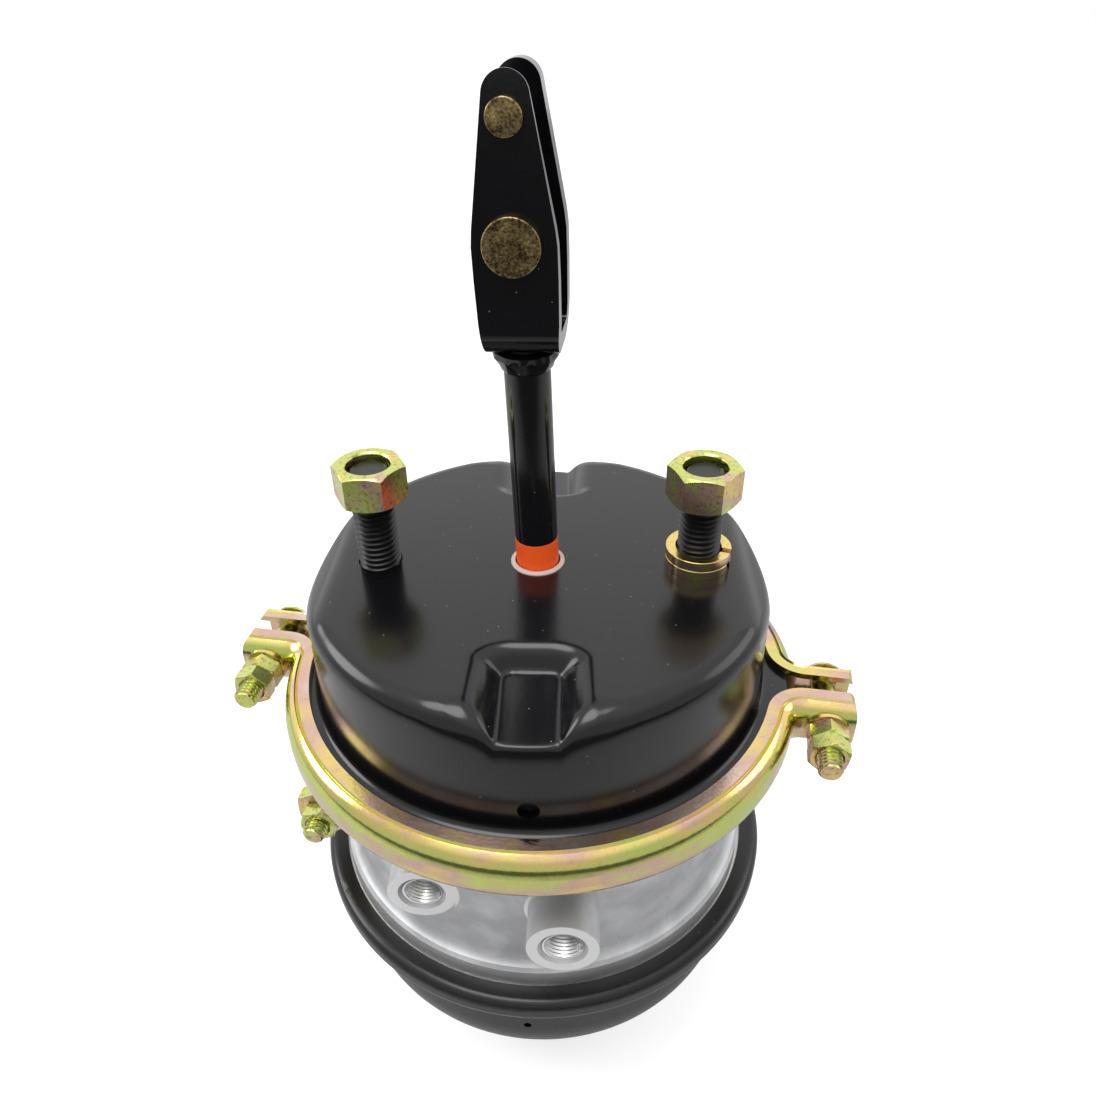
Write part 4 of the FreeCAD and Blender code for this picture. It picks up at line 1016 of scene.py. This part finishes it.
class BRAKE_OT_plated(bpy.types.Operator):
    """Plates clamp ring, nuts and washers."""

    bl_idname = "brake.plated"
    bl_label = "Plated parts"

    washer_edge: length_property("Washer edge", "Rounding of the lock washers", 0.6)
    stud_nut_edge: length_property("Stud nut edge", "Rounding of the stud nuts", 0.35)
    clamp_nut_edge: length_property("Clamp nut edge", "Rounding of the clamp nuts", 0.22)

    def execute(self, context):
        washers = ("lock_washer_lower", "lock_washer_upper")
        dress("ring", "clamp_front", "clamp_rear")
        dress("washer", *washers, "clamp_washer_left", "clamp_washer_right")
        for washer in washers:
            rounded_copy(washer, "lock_washers", "yellow_zinc", "washer", self.washer_edge, 3)
        for side in SIDES:
            names = ("stud_nut_", "clamp_nut_", "clamp_lock_nut_", "clamp_bolt_")
            dress("nut", *(name + side for name in names))
            rounded_copy("stud_nut_" + side, "stud_nut_" + side, "yellow_zinc", "nut", self.stud_nut_edge)
            for name in ("clamp_nut_", "clamp_lock_nut_"):
                rounded_copy(name + side, "clamp_nuts_" + side, "yellow_zinc", "nut", self.clamp_nut_edge)
        dress("nut", "release_bolt", "release_collar", "release_nut")
        return {"FINISHED"}


class BRAKE_OT_cast(bpy.types.Operator):
    """Finishes the cast case."""

    bl_idname = "brake.cast"
    bl_label = "Cast case"

    def execute(self, context):
        dress("casting", "flange_case", "adapter_rod")
        return {"FINISHED"}


class BRAKE_OT_inner(bpy.types.Operator):
    """Finishes what lies inside, the rod guide and the dust plug."""

    bl_idname = "brake.inner"
    bl_label = "Inner parts"

    def execute(self, context):
        dress("guide", "pushrod_guide", "centre_bush")
        seals = ("rod_seal_upper", "rod_seal_lower", "dust_plug")
        dress("rubber", "service_diaphragm", "spring_diaphragm", *seals)
        dress("spring", "power_spring", "service_return_spring", "adapter_return_spring")
        dress("steel", "push_plate", "rod_retainer", "pressure_plate", "adapter_nut")
        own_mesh(frame["nodes"]["power_spring"])
        return {"FINISHED"}


class BRAKE_OT_stage(bpy.types.Operator):
    """Sets floor, world, lamps and camera."""

    bl_idname = "brake.stage"
    bl_label = "Studio"

    def floor(self, studio):
        """A round floor whose white sheet ends in front of the chamber; its colour darkens in front as painted
        shade.
        """
        bm = bmesh.new()
        bmesh.ops.create_circle(bm, cap_ends=True, segments=96, radius=studio.floor_radius)
        lift(bm, cad_box[0][2] - studio.floor_gap)
        floor = mesh_object("floor", bm)
        material, make, shader = new_material("Pale floor", 0.9)
        place = make("ShaderNodeTexCoord").outputs["Object"]
        ahead = calc(make, "MULTIPLY", make("ShaderNodeSeparateXYZ", {0: place}).outputs["Y"], -1.0)
        # Painted shade: beyond the sheet's edge the floor is nearly black, a painted dark room that metals
        # reflect.
        off = step_up(make, ahead, studio.sheet_edge, studio.sheet_edge + studio.sheet_fade)
        # Painted shade: the sheet's colour darkens further in front, a painted fall-off of light; the camera still
        # sees it white.
        fade = step_up(make, ahead, studio.shade_start, studio.sheet_edge)
        sheet = mix_color(make, fade, (0.5, 0.5, 0.5), (0.3, 0.3, 0.3))
        feed(shader, "Base Color", mix_color(make, off, sheet, (0.04, 0.04, 0.04)))
        shader.inputs["Emission Color"].default_value = (1, 1, 1, 1)
        ray = make("ShaderNodeLightPath")
        glow = calc(make, "MULTIPLY_ADD", off, 1 - studio.floor_glow, studio.floor_glow)
        feed(shader, "Emission Strength", calc(make, "MULTIPLY", ray.outputs["Is Camera Ray"], glow))
        floor.data.materials.append(material)

    def world(self, studio):
        """A room that is brighter overhead and behind, and white to the camera."""
        world = bpy.data.worlds.new("Studio")
        bpy.context.scene.world = world
        world.use_nodes = True
        make = link_nodes(world.node_tree)
        way = make("ShaderNodeSeparateXYZ", {0: make("ShaderNodeTexCoord").outputs["Generated"]})
        high = step_up(make, way.outputs["Z"], 0.45, 0.85)
        behind = step_up(make, way.outputs["Y"], 0.0, 0.6)
        open_sky = calc(make, "MAXIMUM", high, behind)
        bright = calc(make, "MULTIPLY_ADD", open_sky, studio.ceiling - studio.room, studio.room)
        ray = make("ShaderNodeLightPath")
        seen = mix_color(make, ray.outputs["Is Glossy Ray"], (studio.fill,) * 3, bright)
        seen = mix_color(make, ray.outputs["Is Camera Ray"], seen, (1.0, 1.0, 1.0))
        feed(world.node_tree.nodes["Background"], "Color", seen)

    def lamp(self, name, place, size, watts):
        """A round lamp that looks at the chamber."""
        data = bpy.data.lights.new(name, "AREA")
        data.shape = "DISK"
        data.size = size
        data.energy = watts
        way = Vector((0, 0, -0.05)) - Vector(place)
        turn = way.to_track_quat("-Z", "Y").to_matrix().to_4x4()
        link_object(name, data).matrix_world = Matrix.Translation(place) @ turn

    def camera(self, studio):
        data = bpy.data.cameras.new("camera")
        data.sensor_width = 36.0
        data.lens = studio.lens
        data.clip_start = 0.01
        camera = link_object("camera", data)
        place = Matrix.Translation(studio.camera_place)
        yaw = Matrix.Rotation(studio.camera_yaw, 4, "Z")
        pitch = Matrix.Rotation(math.pi / 2 - studio.camera_pitch, 4, "X")
        camera.matrix_world = place @ yaw @ pitch @ Matrix.Rotation(studio.camera_roll, 4, "Z")
        bpy.context.scene.camera = camera

    def execute(self, context):
        studio = context.scene.brake_studio
        self.floor(studio)
        self.world(studio)
        self.lamp("overhead", (-0.25, -0.3, 1.3), 0.9, 9.0)
        self.lamp("left", (-1.2, 0.1, 0.6), 0.7, 6.0)
        self.lamp("right", (1.2, 0.2, 0.6), 0.7, 2.0)
        self.camera(studio)
        context.scene.view_settings.view_transform = "Standard"
        return {"FINISHED"}


class BRAKE_PT_panel(bpy.types.Panel):
    """Lists what dresses the chamber."""

    bl_idname = "BRAKE_PT_panel"
    bl_label = "Brake Chamber"
    bl_space_type = "VIEW_3D"
    bl_region_type = "UI"
    bl_category = "Brake Chamber"

    def draw(self, context):
        for operator in OPERATORS:
            self.layout.operator(operator.bl_idname)
        for group in SETTINGS:
            settings = getattr(context.scene, group)
            for name in settings.__annotations__:
                self.layout.prop(settings, name)


SETTINGS = {
    "brake_finish": FinishSettings,
    "brake_cup": CupSettings,
    "brake_threads": ThreadSettings,
    "brake_studio": StudioSettings,
}
OPERATORS = (
    BRAKE_OT_stage,
    BRAKE_OT_painted,
    BRAKE_OT_cast,
    BRAKE_OT_plated,
    BRAKE_OT_inner,
    BRAKE_OT_yoke,
    BRAKE_OT_cup,
    BRAKE_OT_stud_threads,
    BRAKE_OT_clamp_bolts,
    BRAKE_OT_release_bolt,
    BRAKE_OT_port_threads,
    BRAKE_OT_weld,
)


def register():
    for name, settings in SETTINGS.items():
        bpy.utils.register_class(settings)
        setattr(bpy.types.Scene, name, PointerProperty(type=settings))
    for operator in OPERATORS:
        bpy.utils.register_class(operator)
    bpy.utils.register_class(BRAKE_PT_panel)


def unregister():
    bpy.utils.unregister_class(BRAKE_PT_panel)
    for operator in reversed(OPERATORS):
        bpy.utils.unregister_class(operator)
    for name, settings in SETTINGS.items():
        delattr(bpy.types.Scene, name)
        bpy.utils.unregister_class(settings)


def main():
    register()
    looks.update(make_materials(bpy.context.scene.brake_finish))
    for operator in OPERATORS:
        group, name = operator.bl_idname.split(".")
        getattr(getattr(bpy.ops, group), name)()


if __name__ == "__main__":
    main()
